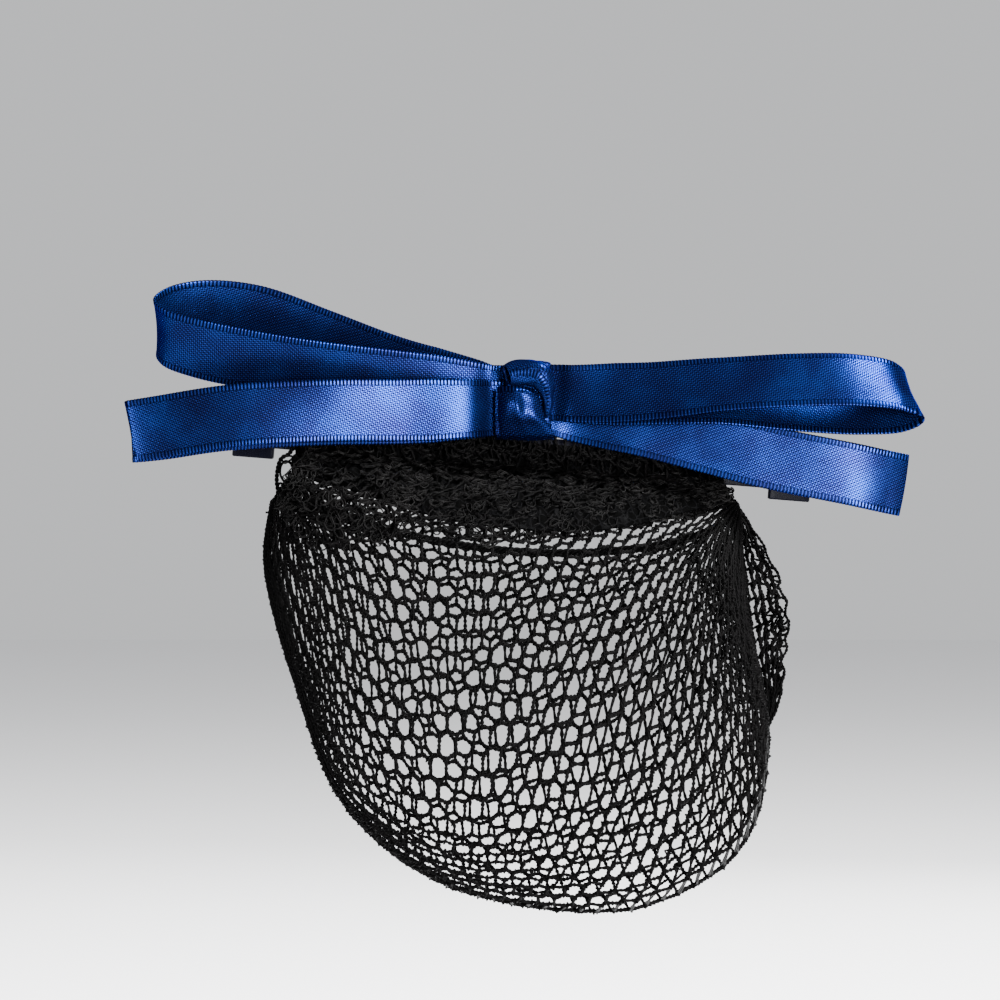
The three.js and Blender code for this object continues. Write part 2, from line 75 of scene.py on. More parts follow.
def makePiece(name, points, faces, material, stands=(), uvs=None):
    mesh = bpy.data.meshes.new(name)
    mesh.from_pydata((np.asarray(points) * mm).tolist(), [], np.asarray(faces).tolist())
    if uvs is not None:
        layer = mesh.uv_layers.new(name="lay")
        corners = np.empty(len(mesh.loops), int)
        mesh.loops.foreach_get("vertex_index", corners)
        layer.data.foreach_set("uv", np.asarray(uvs, float)[corners].ravel())
    mesh.materials.append(material)
    mesh.polygons.foreach_set("use_smooth", [True] * len(mesh.polygons))
    mesh.update()
    piece = bpy.data.objects.new(name, mesh)
    bpy.context.scene.collection.objects.link(piece)
    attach(piece, "root")
    if stands:
        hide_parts(*stands)
    return piece


class Bundle:
    # gathers many small meshes into one
    def __init__(self):
        self.points = []
        self.faces = []
        self.count = 0

    def add(self, points, faces):
        self.points.append(np.asarray(points).reshape(-1, 3))
        self.faces.append(np.asarray(faces) + self.count)
        self.count += len(self.points[-1])

    def piece(self, name, material, slotName, stands=()):
        points, faces = np.concatenate(self.points), np.concatenate(self.faces)
        return makePiece(name, points, faces, material, stands)


def tubes(lines, sideways, radius, sides, closed=False):
    # lines: (count, stations, 3). Returns the points and quads of one closed tube along each line.
    # An open tube needs an even number of sides, for its flat ends.
    lines = np.asarray(lines, float)
    count, stations = lines.shape[:2]
    if closed:
        run = np.roll(lines, -1, 1) - np.roll(lines, 1, 1)
    else:
        run = np.gradient(lines, axis=1)
    run = unit(run)
    side = unit(sideways - run * (sideways * run).sum(-1, keepdims=True))
    lift = np.cross(run, side)
    angle = 2 * np.pi * np.arange(sides) / sides
    radius = np.broadcast_to(np.asarray(radius, float), (count, stations))[..., None, None]
    ring = side[:, :, None] * np.cos(angle)[:, None] + lift[:, :, None] * np.sin(angle)[:, None]
    points = lines[:, :, None] + ring * radius
    index = np.arange(count * stations * sides).reshape(count, stations, sides)
    here = index if closed else index[:, :-1]
    there = np.roll(index, -1, 1) if closed else index[:, 1:]
    quads = np.stack([here, np.roll(here, -1, 2), np.roll(there, -1, 2), there], -1).reshape(-1, 4)
    if not closed:
        ends = [index[:, 0, ::-1], index[:, -1]]
        caps = [end[:, [0, k, k + 1, k + 2]] for end in ends for k in range(0, sides - 2, 2)]
        quads = np.concatenate([quads] + caps)
    return points.reshape(-1, 3), quads


def closeRings(rings, joined=False):
    # points and quads of the solid through these rings, with flat ends unless it closes on itself
    count, sides = rings.shape[:2]
    index = np.arange(count * sides).reshape(count, sides)
    here = index if joined else index[:-1]
    there = np.roll(index, -1, 0) if joined else index[1:]
    quads = np.stack([here, np.roll(here, -1, 1), np.roll(there, -1, 1), there], -1).reshape(-1, 4)
    if not joined:
        ends = []
        for k in range(sides // 2 - 1):
            ends.append(index[0][[sides - 1 - k, sides - 2 - k, k + 1, k]])
            ends.append(index[-1][[k, k + 1, sides - 2 - k, sides - 1 - k]])
        quads = np.concatenate([quads, np.array(ends)])
    return rings.reshape(-1, 3), quads


def sheetBetween(outer, inner):
    # closes two grids of points into one sheet
    rows, columns = outer.shape[:2]
    count = rows * columns
    index = np.arange(count).reshape(rows, columns)
    top = np.stack([index[:-1, :-1], index[1:, :-1], index[1:, 1:], index[:-1, 1:]], -1).reshape(-1, 4)
    border = np.concatenate([index[0, :-1], index[:-1, -1], index[-1, :0:-1], index[:0:-1, 0]])
    after = np.roll(border, -1)
    rim = np.stack([border, after, after + count, border + count], -1)
    points = np.concatenate([outer.reshape(-1, 3), inner.reshape(-1, 3)])
    return points, np.concatenate([top, top[:, ::-1] + count, rim])


# Materials.

class Value:
    # a node socket that adds its own Math nodes when it is reckoned with
    def __init__(self, finish, socket):
        self.finish = finish
        self.socket = socket

    def math(self, operation, *others):
        return self.finish.node("ShaderNodeMath", {"operation": operation}, [self, *others])

    def __add__(self, other):
        return self.math("ADD", other)

    def __mul__(self, other):
        return self.math("MULTIPLY", other)

    def __sub__(self, other):
        return self.math("SUBTRACT", other)

    def __rsub__(self, other):
        return self.finish.node("ShaderNodeMath", {"operation": "SUBTRACT"}, [other, self])

    __radd__ = __add__
    __rmul__ = __mul__

    def sine(self):
        return self.math("SINE")

    def size(self):
        return self.math("ABSOLUTE")

    def ease(self, low, high):
        # 0 up to low, 1 from high on, and a smooth rise between them
        values = {"Value": self, "From Min": low, "From Max": high}
        return self.finish.node("ShaderNodeMapRange", {"interpolation_type": "SMOOTHSTEP"}, values)


class Finish:
    # one material, with its Principled shader's fixed sockets set by name
    def __init__(self, name, **sockets):
        self.material = bpy.data.materials.new(name)
        self.material.use_nodes = True
        self.tree = self.material.node_tree
        self.shader = self.tree.nodes["Principled BSDF"]
        for socket, value in sockets.items():
            self.shader.inputs[socket.replace("_", " ")].default_value = value

    def join(self, socket, value):
        if isinstance(value, Value):
            self.tree.links.new(value.socket, socket)
        else:
            socket.default_value = value

    def node(self, kind, settings, values, output=0):
        node = self.tree.nodes.new(kind)
        for setting, value in settings.items():
            setattr(node, setting, value)
        pairs = values.items() if isinstance(values, dict) else enumerate(values)
        for key, value in pairs:
            self.join(node.inputs[key], value)
        return Value(self, node.outputs[output])

    def place(self, kind="Object"):
        return self.node("ShaderNodeTexCoord", {}, {}, kind)

    def noise(self, place, scale, detail):
        return self.node("ShaderNodeTexNoise", {}, {"Vector": place, "Scale": scale, "Detail": detail})

    def blend(self, share, low, high):
        node = self.tree.nodes.new("ShaderNodeMix")
        node.data_type = "RGBA"
        for key, value in ((0, share), (6, low), (7, high)):
            self.join(node.inputs[key], value)
        return Value(self, node.outputs[2])

    def bump(self, height, depth, strength):
        return self.node("ShaderNodeBump", {}, {"Height": height, "Distance": depth, "Strength": strength})

    def to(self, **values):
        for socket, value in values.items():
            self.join(self.shader.inputs[socket.replace("_", " ")], value)
        return self.material


satin = {
    "deep": (0.0003, 0.0005, 0.0026, 1),
    "mid": (0.0026, 0.0024, 0.014, 1),
    # the light colour is a painted highlight, blended in where the weave's crests and random patches come up
    "light": (0.0024, 0.0122, 0.072, 1),
    "twillPitch": 0.5,
    "twillTurn": math.radians(34),
    "weftPitch": 0.5,
    "driftScale": 900,
    "drift": 0.35,
    "lineWeight": 0.2,
    "pickWeight": 0.45,
    "weaveLevel": 0.5,
    "edgePitch": 0.58,
    "edgeStart": 4.15,
    "edgeBefore": 0.12,
    "edgeAfter": 0.06,
    "edgeWeight": 0.42,
    "grooveRange": (0.02, 0.2),
    "grooveDepth": 0.6,
    "groovePaintedShade": 0.55,
    "shadeScale": 140,
    "midRange": (0.1, 1.0),
    "highlightFromWeave": 0.6,
    "highlightFromNoise": 0.5,
    "highlightHeldBack": 0.35,
    "highlightRange": (0.1, 0.65),
    "highlightMost": 0.75,
    "metal": 0.8,
    "edgeTint": (0.14, 0.24, 0.6, 1),
    "roughness": 0.235,
    "weaveRoughness": 0.14,
    "shadeRoughness": 0.04,
    "relief": 0.00006,
    "reliefStrength": 0.2,
}


def satinFinish(name):
    finish = Finish(name, Metallic=satin["metal"], Specular_IOR_Level=0.0, Specular_Tint=satin["edgeTint"])
    lay = finish.place("UV")
    split = finish.tree.nodes.new("ShaderNodeSeparateXYZ")
    finish.tree.links.new(lay.socket, split.inputs[0])
    along = Value(finish, split.outputs[0]) * uvUnit
    across = Value(finish, split.outputs[1]) * uvUnit
    turn, full = satin["twillTurn"], 2 * math.pi
    drift = finish.noise(finish.place(), satin["driftScale"], 2) * satin["drift"]
    rising = across * math.cos(turn) - along * math.sin(turn)
    crossing = along * math.cos(turn) + across * math.sin(turn)
    line = (rising * (full / satin["twillPitch"]) + drift).sine()
    pick = (crossing * (full / satin["weftPitch"]) + drift * 2).sine()
    weave = line * satin["lineWeight"] + line * pick * satin["pickWeight"] + satin["weaveLevel"]
    tick = (along * (full / satin["edgePitch"])).sine() * satin["edgeWeight"] + satin["edgeWeight"]
    reach = across.size()
    edge = reach.ease(satin["edgeStart"] - satin["edgeBefore"], satin["edgeStart"] + satin["edgeAfter"])
    groove = 1 - (reach - satin["edgeStart"]).size().ease(*satin["grooveRange"])
    cloth = weave + (tick - weave) * edge
    shade = finish.noise(finish.place(), satin["shadeScale"], 3)
    base = finish.blend(cloth.ease(*satin["midRange"]), satin["deep"], satin["mid"])
    # painted highlight: the weave's crests and random patches are lightened towards the light colour, up to
    # three quarters of the way
    paintedHighlight = cloth * satin["highlightFromWeave"] + shade * satin["highlightFromNoise"] - satin["highlightHeldBack"]
    base = finish.blend(paintedHighlight.ease(*satin["highlightRange"]) * satin["highlightMost"], base, satin["light"])
    # painted shade: the groove between the selvedge and the body is darkened towards the deep colour
    base = finish.blend(groove * satin["groovePaintedShade"], base, satin["deep"])
    height = cloth - groove * satin["grooveDepth"]
    rough = satin["roughness"] + (1 - cloth) * satin["weaveRoughness"]
    return finish.to(
        Base_Color=base,
        Roughness=rough + shade * satin["shadeRoughness"],
        Normal=finish.bump(height, satin["relief"], satin["reliefStrength"]),
    )


yarn = {
    "dark": (0.0001, 0.0001, 0.0001, 1),
    "pale": (0.0014, 0.0012, 0.0013, 1),
    "shine": 0.011,
    # the kinked stitches' paler tone is a painted highlight on their curling threads, not a paler yarn
    "kinkedHighlightPale": (0.0045, 0.0042, 0.0042, 1),
    "kinkedShine": 0.02,
    "fibreScale": 5200,
    "patchScale": 190,
    "fibreTone": 0.75,
    "patchTone": 0.4,
    "toneHeldBack": 0.15,
    "toneRange": (0.3, 0.85),
    "roughness": 0.46,
    "fibreRoughness": 0.22,
    "relief": 0.00005,
    "reliefStrength": 0.5,
}


# pale is the plain yarn's lighter fibre tone, and for the kinked stitches a painted highlight
def yarnFinish(name, pale, shine):
    finish = Finish(name, Specular_IOR_Level=shine)
    place = finish.place()
    fibre = finish.noise(place, yarn["fibreScale"], 3)
    patch = finish.noise(place, yarn["patchScale"], 2)
    tone = fibre * yarn["fibreTone"] + patch * yarn["patchTone"] - yarn["toneHeldBack"]
    return finish.to(
        Base_Color=finish.blend(tone.ease(*yarn["toneRange"]), yarn["dark"], pale),
        Roughness=yarn["roughness"] + fibre * yarn["fibreRoughness"],
        Normal=finish.bump(fibre, yarn["relief"], yarn["reliefStrength"]),
    )


bunched = {
    "dark": (0.0001, 0.0001, 0.0001, 1),
    "pale": (0.0008, 0.0008, 0.0009, 1),
    "shine": 0.006,
    "cellScale": 520.0,
    "strandRange": (0.02, 0.16),
    "fibreScale": 2600,
    "fibreRelief": 0.3,
    "roughness": 0.86,
    "strandRoughness": 0.3,
    "relief": 0.0004,
    "reliefStrength": 0.8,
}


def bunchedFinish():
    finish = Finish("bunched_black_net", Specular_IOR_Level=bunched["shine"])
    place = finish.place()
    values = {"Vector": place, "Scale": bunched["cellScale"]}
    cell = finish.node("ShaderNodeTexVoronoi", {"feature": "DISTANCE_TO_EDGE"}, values)
    strand = 1 - cell.ease(*bunched["strandRange"])
    fibre = finish.noise(place, bunched["fibreScale"], 3)
    height = strand + fibre * bunched["fibreRelief"]
    return finish.to(
        Base_Color=finish.blend(strand * fibre, bunched["dark"], bunched["pale"]),
        Roughness=bunched["roughness"] - strand * bunched["strandRoughness"],
        Normal=finish.bump(height, bunched["relief"], bunched["reliefStrength"]),
    )


lacquered = {
    "dark": (0.0004, 0.0004, 0.0012, 1),
    "worn": (0.003, 0.003, 0.004, 1),
    "shine": 0.012,
    "wearScale": 620,
    "wearRange": (0.62, 0.8),
    "wearRelief": 0.2,
    "flowScale": 60,
    "roughness": 0.24,
    "flowRoughness": 0.2,
    "relief": 0.00008,
    "reliefStrength": 0.3,
}


def lacquerFinish():
    finish = Finish("black_lacquered_steel", Specular_IOR_Level=lacquered["shine"])
    place = finish.place()
    wear = finish.noise(place, lacquered["wearScale"], 4)
    flow = finish.noise(place, lacquered["flowScale"], 2)
    height = flow + wear * lacquered["wearRelief"]
    return finish.to(
        Base_Color=finish.blend(wear.ease(*lacquered["wearRange"]), lacquered["dark"], lacquered["worn"]),
        Roughness=lacquered["roughness"] + flow * lacquered["flowRoughness"],
        Normal=finish.bump(height, lacquered["relief"], lacquered["reliefStrength"]),
    )


blackYarn = yarnFinish("black_crochet_yarn", yarn["pale"], yarn["shine"])
# the kinked stitches' yarn is made paler as painted thread highlights
highlightedKinkedYarn = yarnFinish("kinked_yarn_painted_highlight", yarn["kinkedHighlightPale"], yarn["kinkedShine"])
bunchedNet = bunchedFinish()
lacquer = lacquerFinish()
blueSatin = satinFinish("royal_blue_satin")
print("materials made")


# Barrette: the bowed bar with its end plates, the straight arm and the end blocks, with rounded edges.

barrette = {
    "length": 98.0, "height": 5.4, "plateHeight": 9.0, "plateLength": 7.0, "thickness": 1.2, "bow": 6.0,
    "tilt": math.radians(4.6),
    "hairGap": 7.4, "armHeight": 5.0, "armThickness": 1.2, "endBlock": 3.0, "blockOverlap": 0.1,
    "edge": 0.28, "edgeSteps": 3, "creaseAngle": math.radians(35), "stripStep": 1.8, "leastStripSteps": 6,
}
half = barrette["length"] / 2
barFrontMiddle = -barrette["hairGap"] / 2 - barrette["thickness"]
barRadius = (half ** 2 + barrette["bow"] ** 2) / (2 * barrette["bow"])
seatGap = 0.3


def barFrontAt(x):
    return barFrontMiddle + barRadius - np.sqrt(barRadius ** 2 - x ** 2)


def barMiddleHeight(x):
    return -x * math.tan(barrette["tilt"])


def plateBottom(x):
    return barMiddleHeight(x) - barrette["plateHeight"] / 2 / math.cos(barrette["tilt"])


def makeStrip(start, end, height):
    # one stretch of the bowed bar
    steps = max(barrette["leastStripSteps"], round((end - start) / barrette["stripStep"]))
    bpy.ops.mesh.primitive_grid_add(x_subdivisions=steps, y_subdivisions=1, size=2)
    strip = bpy.context.object
    strip.rotation_euler = (math.pi / 2, 0, 0)
    bpy.ops.object.transform_apply(location=True, rotation=True, scale=True)
    for vertex in strip.data.vertices:
        x = mix(start, end, (vertex.co.x + 1) / 2)
        vertex.co = (x * mm, float(barFrontAt(x)) * mm, math.copysign(height / 2 * mm, vertex.co.z))
    wall = strip.modifiers.new("wall", "SOLIDIFY")
    wall.thickness = barrette["thickness"] * mm
    wall.offset = -1
    bpy.ops.object.modifier_apply(modifier=wall.name)
    return strip


def makeBarrette():
    clearSelection()
    arm = barrette["hairGap"] / 2
    inner = half - barrette["plateLength"]
    strips = ((-half, -inner, "plateHeight"), (-inner, inner, "height"), (inner, half, "plateHeight"))
    parts = [makeStrip(start, end, barrette[height]) for start, end, height in strips]
    front = float(barFrontAt(half - barrette["endBlock"])) + barrette["thickness"] / 2
    armSize = (barrette["length"], barrette["armThickness"], barrette["armHeight"])
    places = [(armSize, (0, arm + barrette["armThickness"] / 2, 0))]
    for side in (-1, 1):
        size = (barrette["endBlock"], arm - front + barrette["blockOverlap"], barrette["armHeight"])
        places.append((size, (side * (half - barrette["endBlock"] / 2), (arm + front) / 2, 0)))
    for size, place in places:
        bpy.ops.mesh.primitive_cube_add(size=1, location=tuple(c * mm for c in place))
        block = bpy.context.object
        block.scale = tuple(c * mm for c in size)
        bpy.ops.object.transform_apply(location=True, rotation=True, scale=True)
        parts.append(block)
    for part in parts:
        bpy.context.view_layer.objects.active = part
        rounded = part.modifiers.new("edge", "BEVEL")
        rounded.width = barrette["edge"] * mm
        rounded.segments = barrette["edgeSteps"]
        rounded.limit_method = "ANGLE"
        bpy.ops.object.modifier_apply(modifier=rounded.name)
    clearSelection()
    for part in parts:
        part.select_set(True)
    bar = parts[0]
    bpy.context.view_layer.objects.active = bar
    bpy.ops.object.join()
    bar.rotation_euler = (0, barrette["tilt"], 0)
    bpy.ops.object.transform_apply(location=True, rotation=True, scale=True)
    bpy.ops.object.shade_smooth_by_angle(angle=barrette["creaseAngle"])
    bar.name = "lacquered_barrette"
    bar.data.materials.clear()
    bar.data.materials.append(lacquer)
    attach(bar, "root")
    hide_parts("barrette")
    print("barrette made")


makeBarrette()


# Pouch surface, as in the CAD.

pouch = {
    "left": 41.0, "right": 36.5, "drop": 77.5, "front": 30.0, "side": 9.0, "back": 10.0,
    "mouthBack": 15.0, "mouthDrop": 12.0, "mouthEndDrop": 3.0, "mouthNarrowing": 0.94, "boxiness": 3,
}
outlineAcross = (-1.005, -1.06, -0.925, -0.745, -0.39, 0.068, 0.592, 1.025, 1.14, 1.04, 1)
outlineDown = (0.05, 0.25, 0.52, 0.757, 0.92, 0.987, 0.98, 0.846, 0.606, 0.361, 0.112)
# How far round the front each quarter of the courses has come, from the left end of the bar to the right.
courseShares = (
    (0.50, 0.50, 0.45, 0.37, 0.291, 0.245, 0.20, 0.168, 0.161, 0.176, 0.20),
    (0.75, 0.77, 0.77, 0.703, 0.571, 0.486, 0.405, 0.354, 0.355, 0.413, 0.50),
    (0.90, 0.92, 0.93, 0.912, 0.864, 0.786, 0.68, 0.598, 0.624, 0.75, 0.85),
)


def swell(share):
    return np.sqrt(np.maximum(0, 1 - np.abs(2 * share - 1) ** pouch["boxiness"]))


def endTaper(along):
    return np.sqrt(np.maximum(0, np.sin(np.pi * np.clip(along, 0, 1))))


def outlinePoint(along):
    across = readTable(outlineAcross, along)
    x = across * np.where(across < 0, pouch["left"], pouch["right"])
    y = mix(barFrontAt(x) + barrette["thickness"] / 2, -pouch["side"], endTaper(along))
    return np.stack([x, y, -readTable(outlineDown, along) * pouch["drop"]], -1)


def barEdgePoint(along):
    x = mix(-pouch["left"], pouch["right"], along)
    return np.stack([x, barFrontAt(x) + barrette["thickness"] / 2, plateBottom(x) - seatGap], -1)


def mouthPoint(along):
    x = mix(-pouch["left"], pouch["right"], along) * pouch["mouthNarrowing"]
    taper = endTaper(along)
    z = plateBottom(x) - mix(pouch["mouthEndDrop"], pouch["mouthDrop"], taper)
    return np.stack([x, mix(0, pouch["mouthBack"], taper), z], -1)


def frontPoint(along, share):
    share = np.broadcast_to(share, np.shape(along))
    point = mix(barEdgePoint(along), outlinePoint(along), share[..., None])
    point[..., 1] -= pouch["front"] * endTaper(along) * swell(share)
    return point


def backPoint(along, share):
    share = np.broadcast_to(share, np.shape(along))
    point = mix(outlinePoint(along), mouthPoint(along), share[..., None])
    point[..., 1] += pouch["back"] * endTaper(along) * swell(share)
    return point


def frontShare(along, turn):
    # turn is 0 at the barrette and 1 at the outline, and grows evenly from course to course
    knots = np.stack([0 * along] + [readTable(row, along) for row in courseShares] + [0 * along + 1])
    step = np.diff(knots, axis=0)
    slope = np.zeros_like(knots)
    slope[1:-1] = 2 * step[:-1] * step[1:] / np.maximum(step[:-1] + step[1:], 1e-9)
    slope[0] = np.minimum(1.5 * step[0] - 0.5 * slope[1], 3 * step[0])
    slope[-1] = np.maximum(1.5 * step[-1] - 0.5 * slope[-2], 0)
    place = np.clip(turn, 0, 1) * 4 + 0 * along
    k = np.minimum(place.astype(int), 3)
    u = place - k

    def pick(table, row):
        return np.take_along_axis(table, row[None], 0)[0]

    start, end = (1 - u) ** 2, u * u
    rise = pick(knots, k) * (1 + 2 * u) * start + pick(slope, k) * u * start
    return rise + pick(knots, k + 1) * end * (3 - 2 * u) - pick(slope, k + 1) * end * (1 - u)


def evenly(share):
    return mix(share, 0.5 - 0.5 * np.cos(np.pi * share), 0.5)


# Crochet net: courses of two-ply yarn, joined by two-ply stitches that stagger from course to course.

net = {
    "frontCourses": 24,
    "lowTurn": 0.75,
    "lowCourses": 9,
    "backCourses": 16,
    "start": 0.045,
    "end": 0.985,
    "stitchPitch": 2.9,
    "plumbLine": -18.0,
    "zig": 0.36,
    "zigShare": 0.13,
    "lean": 1.15,
    "leanFrom": -14.0,
    "leanSpan": 34.0,
    "coursePly": 0.25,
    "courseTwist": 1.5,
    "stitchPly": 0.215,
    "stitchTwist": 1.75,
    "wrapRadius": 0.46,
    "wrapYarn": 0.17,
    "looseness": 0.12,
    "inset": 0.6,
    "openGap": 2.9,
    "leastOpen": 0.15,
    "standOut": 0.55,
    "endMargin": 0.6,
    "endStop": 0.2,
    "leastStitch": 1.2,
    "leastWrap": 0.5,
    "courseSteps": 4,
    "stitchStations": 5,
    "wrapStations": 6,
    "yarnSides": 4,
    "lastTurn": 0.995,
}
# Places along a course: its leftmost one comes before leftEnd, and the plumb line crosses it before plumbEnd.
fineStations, leftEnd, plumbEnd = 700, 300, 500
fineAlong = np.linspace(net["start"], net["end"], fineStations)


def lengthAlong(line):
    return np.concatenate([[0], np.linalg.norm(np.diff(line, axis=0), axis=1).cumsum()])


def layCourse(line, normal, down):
    return {"line": line, "normal": normal, "down": down, "length": lengthAlong(line)}


def pouchCourse(turn):
    if turn <= 1:
        share = frontShare(fineAlong, turn)
        surface = frontPoint
    else:
        share = np.full_like(fineAlong, evenly(turn - 1) * net["lastTurn"])
        surface = backPoint
    below = surface(fineAlong, np.minimum(share + 0.01, 1))
    above = surface(fineAlong, np.maximum(share - 0.01, 0))
    down = unit(below - above)
    line = surface(fineAlong, share)
    normal = unit(np.cross(down, unit(np.gradient(line, axis=0))))
    return layCourse(line - normal * net["inset"], normal, down)


def measureGaps(courses):
    # how far apart the neighbouring courses lie, all along each course
    for j, course in enumerate(courses):
        before = courses[max(j - 1, 0)]["line"]
        after = courses[min(j + 1, len(courses) - 1)]["line"]
        steps = min(j + 1, len(courses) - 1) - max(j - 1, 0)
        course["gap"] = np.linalg.norm(after - before, axis=1) / steps


def readCourse(course, at):
    def pick(key):
        return np.stack([np.interp(at, course["length"], course[key][:, k]) for k in range(3)], -1)
    return pick("line"), unit(pick("normal")), unit(pick("down"))


def plumbPlace(course):
    # where the course crosses the plumb line from which its stitches are counted
    x = course["line"][:, 0]
    first = int(np.argmin(x[:leftEnd]))
    return float(np.interp(net["plumbLine"], x[first:plumbEnd], course["length"][first:plumbEnd]))


def twist(lines, normals, reach, turns, phase):
    # winds a ply round its line
    run = unit(np.gradient(lines, axis=-2))
    side = unit(np.cross(run, normals))
    lift = np.cross(side, run)
    angle = turns + phase
    beside = side * (np.cos(angle) * reach)[..., None]
    return lines + beside + lift * (np.sin(angle) * reach * 0.75)[..., None]


def addCord(bundle, line, ahead, radius, pitch, plies, sides=4):
    ahead = np.broadcast_to(ahead, line.shape)
    turns = 2 * np.pi * lengthAlong(line) / pitch
    for phase in np.arange(plies) * 2 * np.pi / plies:
        ply = twist(line, ahead, np.full(len(line), radius), turns, phase)
        bundle.add(*tubes(ply[None], ahead[None], radius, sides))


def placeStitches(course, start, j, pitch, loose):
    # the points where stitches hang from a course or stand under it, numbered from the plumb line
    step = pitch / 2
    total = course["length"][-1]
    margin = net["endMargin"]
    k = np.arange(math.ceil((margin - start) / step), math.floor((total - margin - start) / step) + 1)
    spot = start + step * k
    gap = np.interp(spot, course["length"], course["gap"])
    open_ = np.clip(gap / net["openGap"], net["leastOpen"], 1)
    x = np.interp(spot, course["length"], course["line"][:, 0])
    lean = net["lean"] * np.clip((x - net["leanFrom"]) / net["leanSpan"], -1, 1) * open_
    hangs = (k + j) % 2 == 0
    at = spot + np.where(hangs, 0.5, -0.5) * lean + chance.normal(0, loose, len(k)) * open_
    at = np.maximum.accumulate(np.clip(at, net["endStop"], total - net["endStop"]))
    flat, normal, down = readCourse(course, at)
    pull = np.where(hangs, 1.0, -1.0) * np.minimum(net["zig"], net["zigShare"] * gap)
    pull = pull + chance.normal(0, loose * 0.8, len(k)) * open_
    lift = chance.normal(0, loose * 0.7, len(k)) * open_
    place = flat + down * pull[:, None] + normal * lift[:, None]
    return {"k": k, "at": at, "flat": flat, "place": place, "normal": normal, "hangs": hangs, "open": open_}


def addCourse(bundle, course, row):
    many, steps = len(row["k"]), net["courseSteps"]
    stations = np.arange((many - 1) * steps + 1) / steps
    base, normal, _ = readCourse(course, np.interp(stations, np.arange(many), row["at"]))
    near = np.minimum(stations.astype(int), many - 2)
    part = stations - near
    part = (part * part * (3 - 2 * part))[:, None]
    offset = row["place"] - row["flat"]
    line = base + offset[near] * (1 - part) + offset[near + 1] * part
    line = np.concatenate([course["line"][:1], line, course["line"][-1:]])
    normal = np.concatenate([normal[:1], normal, normal[-1:]])
    open_ = np.interp(lengthAlong(line), lengthAlong(line)[1:-1][::steps], row["open"])
    radius = net["coursePly"] * (0.55 + 0.45 * open_)
    turns = 2 * np.pi * lengthAlong(line) / net["courseTwist"]
    for phase in (0, np.pi):
        ply = twist(line, normal, radius * 0.95, turns, phase)
        bundle.add(*tubes(ply[None], normal[None], radius[None], net["yarnSides"]))


def addStitches(bundle, top, bottom, loose):
    _, a, b = np.intersect1d(top["k"][top["hangs"]], bottom["k"], return_indices=True)
    upper, lower = top["place"][top["hangs"]][a], bottom["place"][b]
    normal = unit(top["normal"][top["hangs"]][a] + bottom["normal"][b])
    open_ = bottom["open"][b]
    keep = np.linalg.norm(upper - lower, axis=1) > net["leastStitch"]
    if not keep.any():
        return
    upper, lower, normal, open_ = upper[keep], lower[keep], normal[keep], open_[keep]
    share = np.linspace(0, 1, net["stitchStations"])
    side = unit(np.cross(lower - upper, normal))
    sway = np.sin(np.pi * share)[None] * chance.normal(0, loose, len(upper))[:, None] * open_[:, None]
    line = upper[:, None] + (lower - upper)[:, None] * share[None, :, None] + side[:, None] * sway[..., None]
    normals = np.broadcast_to(normal[:, None], line.shape)
    turns = 2 * np.pi * share[None] * (np.linalg.norm(upper - lower, axis=1) / net["stitchTwist"])[:, None]
    radius = net["stitchPly"] * (0.9 + 0.35 * (2 * share - 1) ** 2)[None] * (0.6 + 0.4 * open_)[:, None]
    for phase in (0.6, 0.6 + np.pi):
        ply = twist(line, normals, radius * 0.9, turns, phase)
        bundle.add(*tubes(ply, normals, radius, net["yarnSides"]))


def addWraps(bundle, row):
    # the small loop of yarn round each crossing
    run = unit(np.gradient(row["place"], axis=0))
    keep = row["open"] > net["leastWrap"]
    if keep.sum() < 3:
        return
    place, run, lift = row["place"][keep], run[keep], row["normal"][keep]
    side = unit(np.cross(run, lift))
    turn = 2 * np.pi * np.arange(net["wrapStations"]) / net["wrapStations"]
    radius = net["wrapRadius"] * chance.uniform(0.8, 1.15, len(run))
    tilt = chance.normal(0, 0.4, len(run))
    ring = lift[:, None] * np.cos(turn)[None, :, None] + side[:, None] * np.sin(turn)[None, :, None]
    ring = ring + run[:, None] * (np.sin(turn)[None] * tilt[:, None])[..., None]
    line = place[:, None] + ring * radius[:, None, None]
    sideways = np.broadcast_to(run[:, None], line.shape)
    bundle.add(*tubes(line, sideways, net["wrapYarn"], net["yarnSides"], closed=True))


def layNet(bundle, courses, starts, first, pitch=net["stitchPitch"], loose=net["looseness"], wraps=True):
    measureGaps(courses)
    for course in courses[1::2]:
        # where courses crowd together, every other one stands out a little
        crowded = np.clip(1 - course["gap"] / net["openGap"], 0, 1)
        course["line"] = course["line"] + course["normal"] * (net["standOut"] * crowded)[:, None]
    rows = [placeStitches(course, starts[j], j + first, pitch, loose) for j, course in enumerate(courses)]
    for j, row in enumerate(rows):
        addCourse(bundle, courses[j], row)
        if wraps:
            addWraps(bundle, row)
    for top, bottom in zip(rows, rows[1:]):
        addStitches(bundle, top, bottom, loose)


